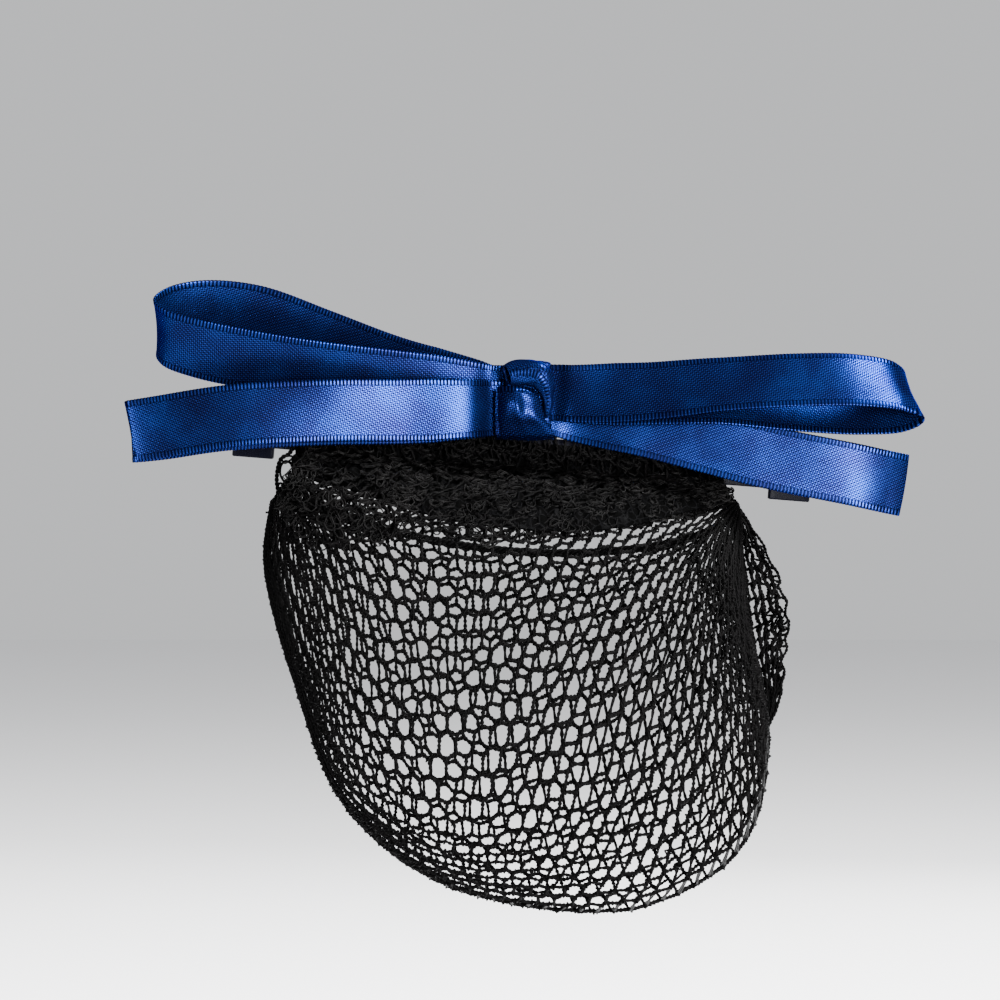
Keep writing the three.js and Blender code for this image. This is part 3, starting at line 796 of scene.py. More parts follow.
def makeNet():
    every = net["frontCourses"]
    turns = [max(j / every, 0.004) for j in range(int(every * net["lowTurn"]) + 1)]
    turns += [mix(net["lowTurn"], 1, j / net["lowCourses"]) for j in range(1, net["lowCourses"] + 1)]
    front = len(turns) - 1
    turns += [1 + j / net["backCourses"] for j in range(1, net["backCourses"] + 1)]
    courses = [pouchCourse(turn) for turn in turns]
    starts = [plumbPlace(course) for course in courses]
    middle = front // 2 + 2
    bands = (
        ("net_front_upper", 0, middle, True),
        ("net_front_lower", middle, front, True),
        ("net_back", front, len(courses) - 1, False),
    )
    made = []
    for name, first, last, wraps in bands:
        bundle = Bundle()
        layNet(bundle, courses[first:last + 1], starts[first:last + 1], first, wraps=wraps)
        made.append(bundle.piece(name, blackYarn, "net_yarn", [] if made else ["net_pouch"]))
        print(name, "made,", 2 * len(made[-1].data.polygons), "triangles")
    return courses


pouchCourses = makeNet()


# Cords: the mouth's elastic edge, the line sewn to the bar, the net's two side edges and the loose corner.

cords = {
    "mouth": 0.34, "bar": 0.3, "side": 0.24, "pitch": 3.2, "sidePitch": 0.6,
    "loop": 0.2, "loopPly": 0.85, "loopWave": 0.35, "loopStations": 28, "strandPitch": 1.4, "thread": 0.17,
}
# Loose loops at the top left, as the photo shows them: places in millimetres, X and Z.
cornerLoops = (
    ((-39.9, -1.5), (-38.9, -1.9), (-38.6, -3.3), (-39.1, -4.7), (-40.0, -4.9), (-40.7, -3.7), (-40.6, -2.3)),
    ((-38.8, -3.6), (-38.0, -3.3), (-37.6, -4.1), (-38.1, -4.9), (-38.9, -4.6)),
    ((-41.0, -5.4), (-40.3, -5.3), (-39.6, -6.1), (-40.0, -7.4), (-40.6, -8.2), (-41.0, -7.0)),
    ((-40.4, -1.1), (-39.4, -0.6), (-38.6, -0.8), (-39.1, -1.4), (-40.0, -1.8)),
    ((-38.7, -5.0), (-38.0, -5.2), (-37.8, -6.2), (-38.6, -6.8), (-39.3, -6.2)),
)
cornerStrand = (
    (-38.2, 1.2), (-39.3, -0.3), (-40.5, -1.0), (-41.1, -2.6), (-41.3, -4.6), (-41.1, -6.4), (-40.9, -8.2),
    (-41.4, -9.6),
)
cornerDepth = -4.6
threadTip = ((-41.6, -4.6, -10.2), (-42.2, -5.0, -10.4), (-42.7, -5.3, -10.1), (-43.1, -5.5, -10.1))


def roundLoop(places, closed, stations):
    # a smooth line through a few places
    places = np.asarray(places, float)
    if closed:
        places = np.concatenate([places[-1:], places, places[:2]])
    else:
        places = np.concatenate([places[:1], places, places[-1:]])
    at = np.linspace(0, len(places) - 3, stations + 1 if closed else stations)[:stations]
    k = np.minimum(at.astype(int), len(places) - 4)
    a, b, c, d = (places[k + n] for n in range(4))
    return splineAt(a, b, c, d, (at - k)[:, None])


def makeCords():
    along = np.linspace(net["start"], net["end"], 260)
    ahead = np.array([0.0, -1.0, 0.0])
    bundle = Bundle()
    addCord(bundle, backPoint(along, 0.995), ahead, cords["mouth"], cords["pitch"], 3, 6)
    addCord(bundle, frontPoint(along, 0.004), ahead, cords["bar"], cords["pitch"], 3, 6)
    for end in (0, -1):
        edge = np.array([course["line"][end] for course in pouchCourses])
        fine = roundLoop(edge, False, 240)
        addCord(bundle, fine, ahead, cords["side"], cords["pitch"] * cords["sidePitch"], 2)
    deep = np.array([0.0, 1.0, 0.0])
    upward = np.array([0.0, 0.0, 1.0])
    stations = cords["loopStations"]
    for loop in cornerLoops:
        flat = roundLoop([(x, cornerDepth, z) for x, z in loop], True, stations)
        flat[:, 1] += cords["loopWave"] * np.sin(np.arange(stations) * 4 * np.pi / stations + loop[0][0])
        for shift in (-0.13, 0.13):
            line = (flat + deep * shift + (flat - flat.mean(0)) * shift * 0.3)[None]
            ply = cords["loop"] * cords["loopPly"]
            bundle.add(*tubes(line, np.broadcast_to(deep, line.shape), ply, 5, closed=True))
    strand = roundLoop([(x, cornerDepth, z) for x, z in cornerStrand], False, 90)
    addCord(bundle, strand, ahead, cords["loop"], cords["strandPitch"], 2)
    tip = roundLoop(threadTip, False, 12)[None]
    bundle.add(*tubes(tip, np.broadcast_to(upward, tip.shape), cords["thread"], net["yarnSides"]))
    piece = bundle.piece("edge_cords", blackYarn, "net_yarn")
    print("cords made,", 2 * len(piece.data.polygons), "triangles")


makeCords()


# Bunched heading: a dark puckered layer in front of the bar, under collapsed net and kinked stitches.

heading = {
    "share": 0.115, "ends": 0.035, "netStart": 0.055, "thickness": 1.1, "rise": 1.7, "gathers": 34,
    "stations": 272, "layers": 2, "courses": 10, "pitch": 2.5, "looseness": 0.3, "float": 0.7, "overlap": 2.6,
    "sag": 0.5, "drawnIn": 1.7, "stitches": 650, "stitchYarn": 0.1, "loopStations": 8, "threadGap": 0.2,
    "spread": (0.065, 0.975), "onBar": 0.25, "loopDrawnIn": 1.9,
}
# Where the dark layer's rows lie on the pouch, as parts of its reach, and those of the collapsed net.
layerParts = (0.12, 0.4, 0.7, 1.0)
netParts = (0.2, 0.45, 0.7, 1.0)
# For each row of the dark layer, from the top down: how late its gathers come and how thick it is.
gatherLag = (0, 0.6, 1.4, 2.2, 2.9, 3.6)
rowThickness = (0.35, 0.9, 1, 1, 0.8, 0.25)
# How far down the bunched zone reaches, in turns of the courses, from the left end to the right.
bunchReach = (0.30, 0.25, 0.17, 0.115, 0.12, 0.14, 0.145, 0.15, 0.155, 0.16, 0.16)


def headingUnder(along):
    x = mix(-pouch["left"], pouch["right"], along)
    front = barFrontAt(x) - seatGap
    rows = [
        np.stack([x, front, barMiddleHeight(x) + heading["rise"]], -1),
        np.stack([x, front, plateBottom(x) + seatGap], -1),
    ]
    for part in layerParts:
        share = heading["share"] * part
        run = frontPoint(along + 0.005, share) - frontPoint(along - 0.005, share)
        down = frontPoint(along, share + 0.003) - frontPoint(along, share - 0.003)
        rows.append(frontPoint(along, share) + unit(np.cross(down, run)) * seatGap)
    return np.stack(rows, 1)


def makeHeadingLayer():
    stations = np.linspace(heading["ends"], 1 - heading["ends"], heading["stations"] + 1)
    under = headingUnder(stations)
    phase = np.cumsum(1 + 0.5 * np.sin(stations * 61) + 0.35 * np.sin(stations * 143 + 1))
    phase = phase / phase[-1] * heading["gathers"] * 2 * np.pi
    run = np.gradient(under, axis=1)
    out = unit(np.stack([np.zeros(run.shape[:2]), run[..., 2], -run[..., 1]], -1))
    gather = 0.5 - 0.5 * np.cos(phase[:, None] + np.array(gatherLag)[None])
    edge = np.array(rowThickness)[None]
    over = under + out * (heading["thickness"] * edge * (0.6 + 0.6 * gather))[..., None]
    ring = np.concatenate([over, under[:, ::-1]], 1)
    points, quads = closeRings(ring)
    piece = makePiece("bunched_heading", points, quads, bunchedNet, ["gathered_heading"])


def makeCollapsedNet():
    # the pouch's first courses, drawn up in layers over the heading
    along = np.linspace(heading["netStart"], 1 - heading["ends"], fineStations)
    bundle = Bundle()
    reach = readTable(bunchReach, along)
    under = headingUnder(along)
    surface = [under[:, 0] + np.array([0, 0, heading["overlap"]]), under[:, 1]]
    surface += [frontPoint(along, frontShare(along, reach * part)) for part in netParts]
    surface = np.stack(surface, 1)
    for layer in range(heading["layers"]):
        courses = []
        for j in range(heading["courses"] + 1):
            place = j / heading["courses"] * (surface.shape[1] - 1)
            k = min(int(place), surface.shape[1] - 2)
            line = mix(surface[:, k], surface[:, k + 1], place - k)
            down = unit(surface[:, k + 1] - surface[:, k])
            normal = unit(np.cross(down, unit(np.gradient(line, axis=0))))
            wave = np.sin(along * 90 + j * 1.3 + layer * 2) + np.sin(along * 41 - j * 0.7 + layer)
            lift = heading["thickness"] + heading["float"] * (layer + 0.35 * wave)
            lift = lift - heading["drawnIn"] * (j / heading["courses"]) ** 2
            sag = heading["sag"] * np.sin(along * 57 + j * 2.1 + layer * 1.7)
            courses.append(layCourse(line + normal * lift[:, None] + down * sag[:, None], normal, down))
        starts = [0.7 * j % 2 for j in range(len(courses))]
        layNet(bundle, courses, starts, layer, heading["pitch"], heading["looseness"], wraps=False)
    piece = bundle.piece("collapsed_net", blackYarn, "net_yarn")
    print("heading made,", 2 * len(piece.data.polygons), "triangles")


def makeKinkedStitches():
    # short open loops of single yarn, lying over the bunched net at every angle
    count, stations = heading["stitches"], heading["loopStations"]
    along = mix(*heading["spread"], chance.uniform(0, 1, count) ** 1.4)
    reach = chance.uniform(0, 1, count) ** 1.1
    x = mix(-pouch["left"], pouch["right"], along)
    share = frontShare(along, readTable(bunchReach, along) * reach * 1.1)
    onPouch = frontPoint(along, share)
    height = mix(barMiddleHeight(x), plateBottom(x), chance.uniform(0, 1, count))
    onBar = np.stack([x, barFrontAt(x) - seatGap, height], -1)
    centre = np.where((chance.uniform(0, 1, count) < heading["onBar"])[:, None], onBar, onPouch)
    run = unit(frontPoint(along + 0.01, share) - frontPoint(along - 0.01, share))
    down = unit(frontPoint(along, share + 0.01) - frontPoint(along, np.maximum(share - 0.01, 0)))
    normal = unit(np.cross(down, run))
    standing = chance.uniform(1.2, 2.3, count) - heading["loopDrawnIn"] * reach ** 2
    centre = centre + normal * standing[:, None]
    turn = chance.uniform(0, np.pi, count)
    first = run * np.cos(turn)[:, None] + down * np.sin(turn)[:, None]
    second = np.cross(normal, first)
    angle = 2 * np.pi * np.arange(stations) / stations
    long_ = chance.uniform(0.8, 1.5, count)
    wide = long_ * chance.uniform(0.3, 0.8, count)
    lift = chance.uniform(-0.4, 0.4, count)
    line = centre[:, None] + first[:, None] * (np.cos(angle)[None] * long_[:, None])[..., None]
    bend = np.sin(angle) + 0.3 * np.sin(2 * angle + 1)
    line = line + second[:, None] * (bend[None] * wide[:, None])[..., None]
    line = line + normal[:, None] * (np.cos(2 * angle)[None] * lift[:, None])[..., None]
    ahead = np.broadcast_to(normal[:, None], line.shape)
    bundle = Bundle()
    for beside in (0, heading["threadGap"]):
        thread = line + (ahead + first[:, None]) * beside
        bundle.add(*tubes(thread, ahead, heading["stitchYarn"], net["yarnSides"], closed=True))
    piece = bundle.piece("kinked_stitches", highlightedKinkedYarn, "net_yarn")
    print("kinked stitches made,", 2 * len(piece.data.polygons), "triangles")


makeHeadingLayer()
makeCollapsedNet()
makeKinkedStitches()


# Ruffle: slack net, doubled over, that stands out from the pouch's right side.

ruffle = {
    "along": (1.0, 0.97, 0.94, 0.915, 0.89, 0.865, 0.84, 0.8),
    "out": (0.0, 0.42, 0.8, 1.0, 0.95, 0.72, 0.5, 0.0),
    "sway": (0, 0.8, -0.7, 0.9, -0.8, 0.7, -0.5, 0),
    "reach": 7.4, "overlap": 1.3, "wave": 2.2, "courses": 6, "pitch": 2.6, "looseness": 0.3, "doubled": 1.6,
}


def makeRuffle():
    places = np.linspace(0.01, 0.99, 260)
    base = outlinePoint(readTable(ruffle["along"], places)) - np.array([ruffle["overlap"], 0, 0])
    out = readTable(ruffle["out"], places)
    sway = readTable(ruffle["sway"], places)
    courses = []
    for j in range(2 * ruffle["courses"]):
        share = 1 - abs(j - ruffle["courses"]) / ruffle["courses"]
        behind = ruffle["doubled"] * max(0, j - ruffle["courses"]) / ruffle["courses"]
        line = base.copy()
        line[:, 0] += 0.3 + ruffle["reach"] * out * share
        line[:, 1] += ruffle["wave"] * sway * (0.25 + 0.75 * share) + behind
        line[:, 1] += (0.7 * np.sin(places * 37 + j * 0.9) + 0.4 * np.sin(places * 71 + j * 2)) * out * share
        line[:, 0] += 0.35 * np.sin(places * 53 + j * 1.7) * out * share
        run = unit(np.gradient(line, axis=0))
        outward = np.tile([1.0, 0.0, 0.0], (len(line), 1))
        courses.append(layCourse(line, unit(np.cross(outward, run)), outward))
    bundle = Bundle()
    starts = [0.9 * j % 2 for j in range(len(courses))]
    layNet(bundle, courses, starts, 0, ruffle["pitch"], ruffle["looseness"])
    piece = bundle.piece("slack_ruffle", blackYarn, "net_yarn", ["side_ruffle"])
    print("ruffle made,", 2 * len(piece.data.polygons), "triangles")


makeRuffle()


# Bow: four limbs of thin satin ribbon and the knot.

bow = {
    "ribbonWidth": 10.3, "thickness": 0.34, "layerStep": 1.3, "cadThickness": 1.0, "depth": 10.0,
    "squeeze": 0.9, "knotWidth": 9.8, "knotBand": 1.0,
    "rib": 0.58, "ribHeight": 0.06, "ribReach": 0.07, "ribStations": 3, "fineStations": 4000,
    "selvedge": 0.82, "edgeThinness": 0.45,
    "slowWave": (0.16, 9.5), "quickWave": (0.10, 4.1), "cup": (0.22, 17.0),
}
# Places across the ribbon, from edge to edge as shares of half its width: close together at the selvedges.
ribbonAcross = np.array([
    -1, -0.985, -0.95, -0.915, -0.88, -0.835, -0.8, -0.5, -0.2, 0.1, 0.4, 0.7, 0.8, 0.835, 0.88, 0.915, 0.95,
    0.985, 1.0,
])
stackBack = barFrontMiddle - seatGap - bow["knotBand"] - seatGap
# Rows: out as a share of the reach, rise as a share of the ribbon's width, fore as a share of the bow's depth,
# and the lean and tilt in degrees.
limbs = {
    "upper_left_loop": {
        "reach": -61.2, "height": 9.9, "layers": (0, 1),
        "rows": (
            (0.14, 0.04, 0.16, 5, 0), (0.33, 0.18, 0.26, 14, 0), (0.52, 0.32, 0.32, 20, 0),
            (0.74, 0.53, 0.34, 24, 0), (0.89, 0.72, 0.31, 25, 0), (0.975, 0.9, 0.17, 25, 0),
            (1, 1.08, -0.08, 25, 0), (0.965, 1.26, -0.34, 24, 0), (0.88, 1.37, -0.5, 22, 0),
            (0.74, 1.29, -0.54, 18, 0), (0.55, 0.88, -0.42, 12, 0), (0.33, 0.39, -0.22, 6, 0),
            (0.14, 0.09, -0.05, 2, 0),
        ),
    },
    "lower_left_fold": {
        "reach": -65.2, "height": 7.3, "layers": (1.6, 2.0),
        "rows": (
            (0.13, -0.01, 0.55, 0, 0), (0.3, -0.04, 0.7, 0, 0), (0.5, -0.05, 0.87, 0, 0),
            (0.74, -0.13, 0.88, 0, 0), (0.93, -0.31, 0.66, 0, -9), (1, -0.38, 0.48, 0, -11),
            (0.93, -0.34, 0.44, 0, -9), (0.76, -0.19, 0.56, 0, 0), (0.5, -0.1, 0.58, 0, 0),
            (0.3, -0.08, 0.51, 0, 0), (0.13, -0.02, 0.37, 0, 0),
        ),
    },
    "upper_right_loop": {
        "reach": 64.8, "height": 9.9, "layers": (2, 3),
        "rows": (
            (0.13, -0.02, 0.55, -6, 0), (0.32, 0.01, 0.74, -22, 0), (0.51, 0.12, 0.86, -31, 0),
            (0.72, 0.2, 0.86, -34, 0), (0.86, 0.2, 0.78, -34, 0), (0.965, 0.1, 0.6, -32, -12),
            (1, -0.07, 0.42, -30, -19), (0.965, -0.2, 0.28, -30, -12), (0.87, -0.26, 0.2, -32, 0),
            (0.7, -0.2, 0.3, -32, 0), (0.51, -0.08, 0.42, -28, 0), (0.32, -0.04, 0.42, -18, 0),
            (0.13, -0.02, 0.31, -3, 0),
        ),
    },
    "lower_right_fold": {
        "reach": 63.7, "height": 7.3, "layers": (0, 1),
        "rows": (
            (0.14, -0.07, 0.17, 0, 0), (0.3, -0.25, 0.27, 0, 0), (0.45, -0.49, 0.36, 0, 0),
            (0.63, -0.78, 0.43, 0, 0), (0.87, -1.08, 0.44, 0, 0), (0.96, -1.2, 0.3, 0, 12),
            (1, -1.25, 0.18, 0, 12), (0.96, -1.2, 0.1, 0, 12), (0.87, -1.08, 0.13, 0, 0),
            (0.63, -0.78, 0.18, 0, 0), (0.45, -0.49, 0.15, 0, 0), (0.3, -0.25, 0.1, 0, 0),
            (0.14, -0.07, 0.04, 0, 0),
        ),
    },
}


def layerAt(layer):
    return stackBack - bow["cadThickness"] / 2 - layer * bow["layerStep"]


def smoothPath(stops, share):
    # a curve through the stops that doesn't overshoot where they lie close together
    stops = np.asarray(stops, float)
    stops = np.concatenate([[2 * stops[0] - stops[1]], stops, [2 * stops[-1] - stops[-2]]])
    place = np.clip(share, 0, 1) * (len(stops) - 3)
    k = np.minimum(place.astype(int), len(stops) - 4)
    u = (place - k)[:, None]
    a, b, c, d = (stops[k + n] for n in range(4))
    pairs = ((a, b), (b, c), (c, d))
    ab, bc, cd = (np.maximum(np.linalg.norm(q - p, axis=1) ** 0.5, 1e-3)[:, None] for p, q in pairs)
    start = ((b - a) / ab - (c - a) / (ab + bc) + (c - b) / bc) * bc
    end = ((c - b) / bc - (d - b) / (bc + cd) + (d - c) / cd) * bc
    return b + start * u + (3 * (c - b) - 2 * start - end) * u ** 2 + (2 * (b - c) + start + end) * u ** 3


def limbStops(limb, exit_):
    # the places that the ribbon's middle line passes, with its lean and tilt there
    reach, height = limb["reach"], limb["height"]
    side = math.copysign(1, reach)
    back, front = (layerAt(layer) for layer in limb["layers"])
    stops = [(side * seatGap, front, height, 0, 0), (side * exit_, front, height, 0, 0)]
    for out, rise, fore, lean, tilt in limb["rows"]:
        y = stackBack - fore * bow["depth"]
        stops.append((out * reach, y, height + rise * bow["ribbonWidth"], lean, tilt))
    stops += [(side * exit_, back, height, 0, 0), (side * seatGap, back, height, 0, 0)]
    return np.array(stops, float)


def ribbonCourse(stops):
    # the middle line in even steps, the length up to each, and the ribbon's up and out directions
    fine = np.linspace(0, 1, bow["fineStations"])
    length = lengthAlong(smoothPath(stops[:, :3], fine))
    stations = int(length[-1] / bow["rib"] * bow["ribStations"])
    at = np.linspace(0, length[-1], stations)
    share = np.interp(at, length, fine)
    line = smoothPath(stops[:, :3], share)
    run = unit(np.gradient(line, axis=0))
    rows = np.arange(len(stops))
    lean, tilt = (np.radians(np.interp(share * (len(stops) - 1), rows, stops[:, k])) for k in (3, 4))
    up = np.stack([np.sin(tilt), -np.sin(lean), np.cos(lean)], -1)
    up = unit(up - run * (up * run).sum(-1, keepdims=True))
    return line, at, up, np.cross(run, up)


def makeLimb(name, limb):
    reach = limb["reach"]
    exit_ = bow["knotWidth"] / 2 + 2 * seatGap
    line, at, up, out = ribbonCourse(limbStops(limb, exit_))
    across = ribbonAcross
    free = np.clip((np.abs(line[:, 0]) - exit_) / bow["knotWidth"], 0, 1)
    halfWide = bow["ribbonWidth"] * mix(bow["squeeze"], 1, free) / 2
    rib = 0.5 - 0.5 * np.cos(2 * np.pi * at / bow["rib"])
    nearEdge = np.clip((np.abs(across) - bow["selvedge"]) / 0.04, 0, 1)
    nearEdge = nearEdge * np.clip((1.0 - np.abs(across)) / 0.03, 0.35, 1)
    thick = bow["thickness"] / 2 * np.where(np.abs(across) > 0.99, bow["edgeThinness"], 1.0)
    thick = thick[None] + bow["ribHeight"] * nearEdge[None] * rib[:, None]
    # the ribbon isn't quite flat: slow waves along it and a slight cup across it, none of them under the knot
    (slow, slowSpan), (quick, quickSpan), (cupDepth, cupSpan) = bow["slowWave"], bow["quickWave"], bow["cup"]
    wave = slow * np.sin(at / slowSpan + len(name)) + quick * np.sin(at / quickSpan + reach)
    cup = cupDepth * np.sin(at / cupSpan + reach * 0.3)
    lift = (wave[:, None] * across[None] + cup[:, None] * across[None] ** 2) * free[:, None]
    spread = halfWide[:, None] * across[None]
    spread = spread + np.sign(across)[None] * bow["ribReach"] * rib[:, None] * (np.abs(across) > 0.97)[None]
    sheet = line[:, None] + up[:, None] * spread[..., None] + out[:, None] * lift[..., None]
    face = sheet + out[:, None] * thick[..., None]
    reverse = sheet - out[:, None] * thick[..., None]
    ring = np.concatenate([face, reverse[:, ::-1]], 1)
    count, sides = ring.shape[:2]
    index = np.arange(count * sides).reshape(count, sides)
    here, there = index[:-1], index[1:]
    quads = np.stack([here, there, np.roll(there, -1, 1), np.roll(here, -1, 1)], -1).reshape(-1, 4)
    ends = []
    for row, flip in ((index[0], False), (index[-1], True)):
        for k in range(sides // 2 - 1):
            quad = [row[k], row[k + 1], row[sides - 2 - k], row[sides - 1 - k]]
            ends.append(quad[::-1] if flip else quad)
    quads = np.concatenate([quads, np.array(ends)])
    acrossRing = np.concatenate([across, across[::-1]]) * bow["ribbonWidth"] / 2
    uvs = np.stack(np.broadcast_arrays(at[:, None], acrossRing[None]), -1).reshape(-1, 2) / uvUnit
    piece = makePiece("satin_" + name, ring.reshape(-1, 3), quads, blueSatin, [name], uvs)
    print(name, "made,", round(float(at[-1])), "mm of ribbon")


for limbName, limbRow in limbs.items():
    makeLimb(limbName, limbRow)


# Knot: a band round the ribbons, the puffed lower wrap in front, and the fold that rolls over it.

knot = {
    "forward": 2.45, "height": 8.6, "deep": 2.75, "tall": 6.235, "sheet": 0.34, "corner": 5,
    "bandWidth": 7.3, "bandShift": 1.05, "bandSag": 0.4, "bandRoom": 0.1, "bandSteps": 96, "bandLay": 0.34,
    "front": 0.45, "bulge": 3.5, "fine": 44, "topDip": 0.35, "tuck": 2.2, "tuckFrom": 0.86,
    "creaseDepth": 0.55, "creasePlace": 0.42, "creaseDrift": 0.10, "creaseWidth": 0.10,
    "foldStations": 60, "foldSides": 28, "foldOpen": 0.55, "foldLay": 4.3, "leastRadius": 0.05,
}
# Round the band's section, from its left edge over its face and back: place across, and share of the sheet.
bandSpread = np.array([-1, -0.95, -0.8, -0.5, 0, 0.5, 0.8, 0.95, 1, 0.95, 0.8, 0.5, 0, -0.5, -0.8, -0.95])
bandLayer = np.array([0.5, 1, 1, 1, 1, 1, 1, 1, 0.5, 0, 0, 0, 0, 0, 0, 0])
# Lower wrap, from its top edge down: height, left edge, right edge, share of the bulge.
wrapRows = (
    (10.95, -4.45, 1.5, 0.62), (10.3, -4.5, 2.3, 0.86), (9.0, -4.55, 2.8, 0.98), (7.4, -4.6, 3.25, 1.0),
    (5.7, -4.6, 3.6, 0.92), (4.3, -4.55, 4.5, 0.66), (2.9, -4.5, 5.2, 0.36), (2.05, -4.4, 5.1, 0.1),
)
# Fold, from its open left end: place in X and Z, forward reach, radius, how flat it is from front to back.
foldRows = (
    (-2.75, 12.75, 2.35, 1.75, 0.62), (-1.7, 13.05, 2.1, 2.02, 0.66), (-0.2, 13.15, 1.95, 2.15, 0.72),
    (1.4, 13.05, 1.95, 2.2, 0.76), (2.75, 12.55, 1.95, 2.2, 0.78), (3.6, 11.2, 1.9, 1.7, 0.85),
    (4.0, 9.6, 1.75, 1.1, 1.0), (4.15, 8.0, 1.6, 0.82, 1.1), (4.0, 6.6, 1.45, 0.55, 1.2),
    (3.75, 5.5, 1.3, 0.2, 1.2),
)


def makeKnotBand(centre):
    steps, corner = knot["bandSteps"], knot["corner"]
    turn = 2 * np.pi * np.arange(steps) / steps
    reach = (np.abs(np.cos(turn)) ** corner + np.abs(np.sin(turn)) ** corner) ** (-1 / corner)
    across = knot["bandShift"] + bandSpread * knot["bandWidth"] / 2
    grow = bandLayer * knot["sheet"] + knot["bandRoom"] - knot["bandSag"] * bandSpread ** 4
    y = centre[0] + (np.cos(turn) * reach)[:, None] * (knot["deep"] + grow)
    z = centre[1] + (np.sin(turn) * reach)[:, None] * (knot["tall"] + grow)
    ring = np.stack([np.broadcast_to(across, y.shape), y, z], -1)
    points, quads = closeRings(ring, True)
    lay = np.arange(steps)[:, None] * knot["bandLay"]
    uv = np.stack(np.broadcast_arrays(lay, across[None] * 0.9), -1).reshape(-1, 2) / uvUnit
    piece = makePiece("knot_band", points, quads, blueSatin, ["bow_knot"], uv)


def makeLowerWrap(centre):
    rows, fine = np.array(wrapRows), knot["fine"]
    down = np.linspace(0, 1, fine)
    height, left, right, puff = (readTable(rows[:, k], down)[:, None] for k in range(4))
    across = np.linspace(0, 1, fine)[None]
    x = mix(left, right, across)
    topDip = -knot["topDip"] * (2 * across - 0.9) ** 2 * (1 - down[:, None]) ** 2
    z = height + topDip + 0 * x
    face = centre[0] - knot["deep"] - knot["front"]
    dome = np.maximum(0, 1 - np.abs(2 * across - 1.12) ** 2.6) ** 0.6
    pleats = 0.16 * np.sin(across * 9 + down[:, None] * 5) + 0.10 * np.sin(down[:, None] * 15 - across * 5)
    beside = (across - knot["creasePlace"] - knot["creaseDrift"] * down[:, None]) / knot["creaseWidth"]
    crease = -knot["creaseDepth"] * np.exp(-beside ** 2) * np.sin(np.pi * down[:, None])
    y = face - knot["bulge"] * puff * dome + (pleats + crease) * puff
    under = np.clip((down - knot["tuckFrom"]) / 0.14, 0, 1)[:, None]
    y = y + knot["tuck"] * under ** 2
    outer = np.stack([x, y, z], -1)
    inner = outer + np.array([0, knot["sheet"], 0])
    points, quads = sheetBetween(outer, inner)
    uv = np.stack([x, 5.1 - (rows[0, 0] - z)], -1).reshape(-1, 2) / uvUnit
    uvs = np.concatenate([uv, uv])
    piece = makePiece("knot_lower_wrap", points, quads, blueSatin, (), uvs)


def makeUpperFold(centre):
    rows = np.array(foldRows)
    stations, sides = knot["foldStations"], knot["foldSides"]
    along = np.linspace(0, 1, stations)
    x, z, fore, radius, flat = (readTable(rows[:, k], along) for k in range(5))
    line = np.stack([x, centre[0] - knot["deep"] - fore, z], -1)
    run = np.gradient(line, axis=0)
    run[:, 1] = np.interp(along, [0, 0.15, 0.4], [0.055, 0.03, 0.0])
    run = unit(run)
    ahead = unit(np.array([0.0, -1.0, 0.0]) - run * (-run[:, 1:2]))
    upward = np.cross(run, ahead)
    turn = 2 * np.pi * np.arange(sides) / sides
    crinkle = 1 + 0.035 * np.sin(turn * 5 + along[:, None] * 14)
    crinkle = (crinkle + 0.02 * np.sin(turn * 9 - along[:, None] * 23))[..., None]
    shell = []
    for inset in (0.0, knot["sheet"]):
        size = np.maximum(radius - inset, knot["leastRadius"])[:, None, None]
        depth = np.maximum(radius * flat - inset, knot["leastRadius"])[:, None, None]
        round_ = ahead[:, None] * np.cos(turn)[None, :, None] * depth * crinkle
        shell.append(line[:, None] + round_ + upward[:, None] * np.sin(turn)[None, :, None] * size * crinkle)
    outer, inner = shell
    reach = int(stations * knot["foldOpen"])
    ring = np.concatenate([inner[reach:0:-1], outer])
    points, quads = closeRings(ring)
    lengths = lengthAlong(line)
    lay = np.concatenate([-lengths[reach:0:-1], lengths])
    around = knot["foldLay"] * np.cos(turn)
    uv = np.stack(np.broadcast_arrays(lay[:, None], around[None]), -1).reshape(-1, 2) / uvUnit
    piece = makePiece("knot_upper_fold", points, quads, blueSatin, (), uv)


def makeKnot():
    centre = (stackBack - knot["forward"], knot["height"])
    makeKnotBand(centre)
    makeLowerWrap(centre)
    makeUpperFold(centre)
    print("knot made")


makeKnot()


# Studio: floor, soft lights and the camera, in metres. Lights: name, place, size and power in watts.

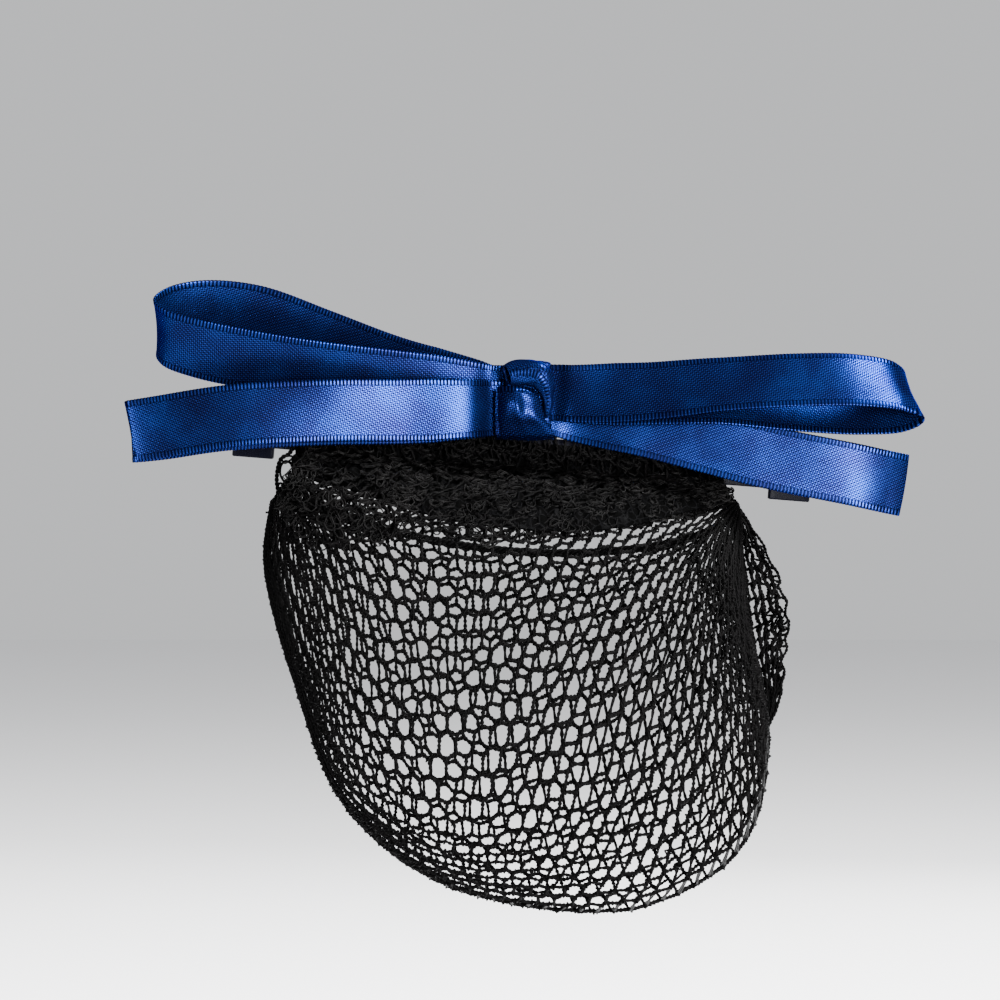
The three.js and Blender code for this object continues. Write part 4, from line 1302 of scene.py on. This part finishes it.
studio = {
    "floor": -0.15, "floorSize": 8, "floorTone": (0.86, 0.86, 0.87, 1), "floorRoughness": 0.85,
    "camera": (-0.00383, -0.8, -0.008), "lens": 170.64, "sensor": 36, "nearest": 0.01,
    "aim": (0.0, -0.01, -0.01), "world": 0.72, "worldTone": (0.95, 0.96, 0.98, 1),
    "lights": (
        ("key", (0.32, -0.92, 0.02), 0.32, 110.0),
        ("side", (-0.88, -0.52, 0.0), 0.3, 20.0),
        ("top", (0.5, -0.14, 0.85), 0.2, 110.0),
        ("rear", (0.3, 0.8, 0.35), 0.6, 6.0),
    ),
}


def makeStudio():
    clearSelection()
    bpy.ops.mesh.primitive_plane_add(size=studio["floorSize"], location=(0, 0, studio["floor"]))
    floor = bpy.context.object
    floor.name = "floor"
    bpy.ops.object.transform_apply(location=True, rotation=True, scale=True)
    pale = Finish("pale_floor", Base_Color=studio["floorTone"], Roughness=studio["floorRoughness"])
    floor.data.materials.append(pale.material)
    for name, place, size, power in studio["lights"]:
        light = bpy.data.lights.new(name, "AREA")
        light.size = size
        light.energy = power
        lamp = bpy.data.objects.new(name, light)
        lamp.location = place
        aim = np.array(studio["aim"]) - np.array(place)
        fall, turn = math.atan2(math.hypot(aim[0], aim[1]), -aim[2]), math.atan2(aim[1], aim[0])
        lamp.rotation_euler = (fall, 0, turn - math.pi / 2)
        bpy.context.scene.collection.objects.link(lamp)
    world = bpy.data.worlds.new("studio")
    world.use_nodes = True
    backdrop = world.node_tree.nodes["Background"]
    backdrop.inputs[0].default_value = studio["worldTone"]
    backdrop.inputs[1].default_value = studio["world"]
    bpy.context.scene.world = world
    data = bpy.data.cameras.new("photo_view")
    data.lens = studio["lens"]
    data.sensor_width = studio["sensor"]
    data.clip_start = studio["nearest"]
    camera = bpy.data.objects.new("photo_view", data)
    camera.location = studio["camera"]
    camera.rotation_euler = (math.pi / 2, 0, 0)
    bpy.context.scene.collection.objects.link(camera)
    bpy.context.scene.camera = camera
    print("studio made")


makeStudio()
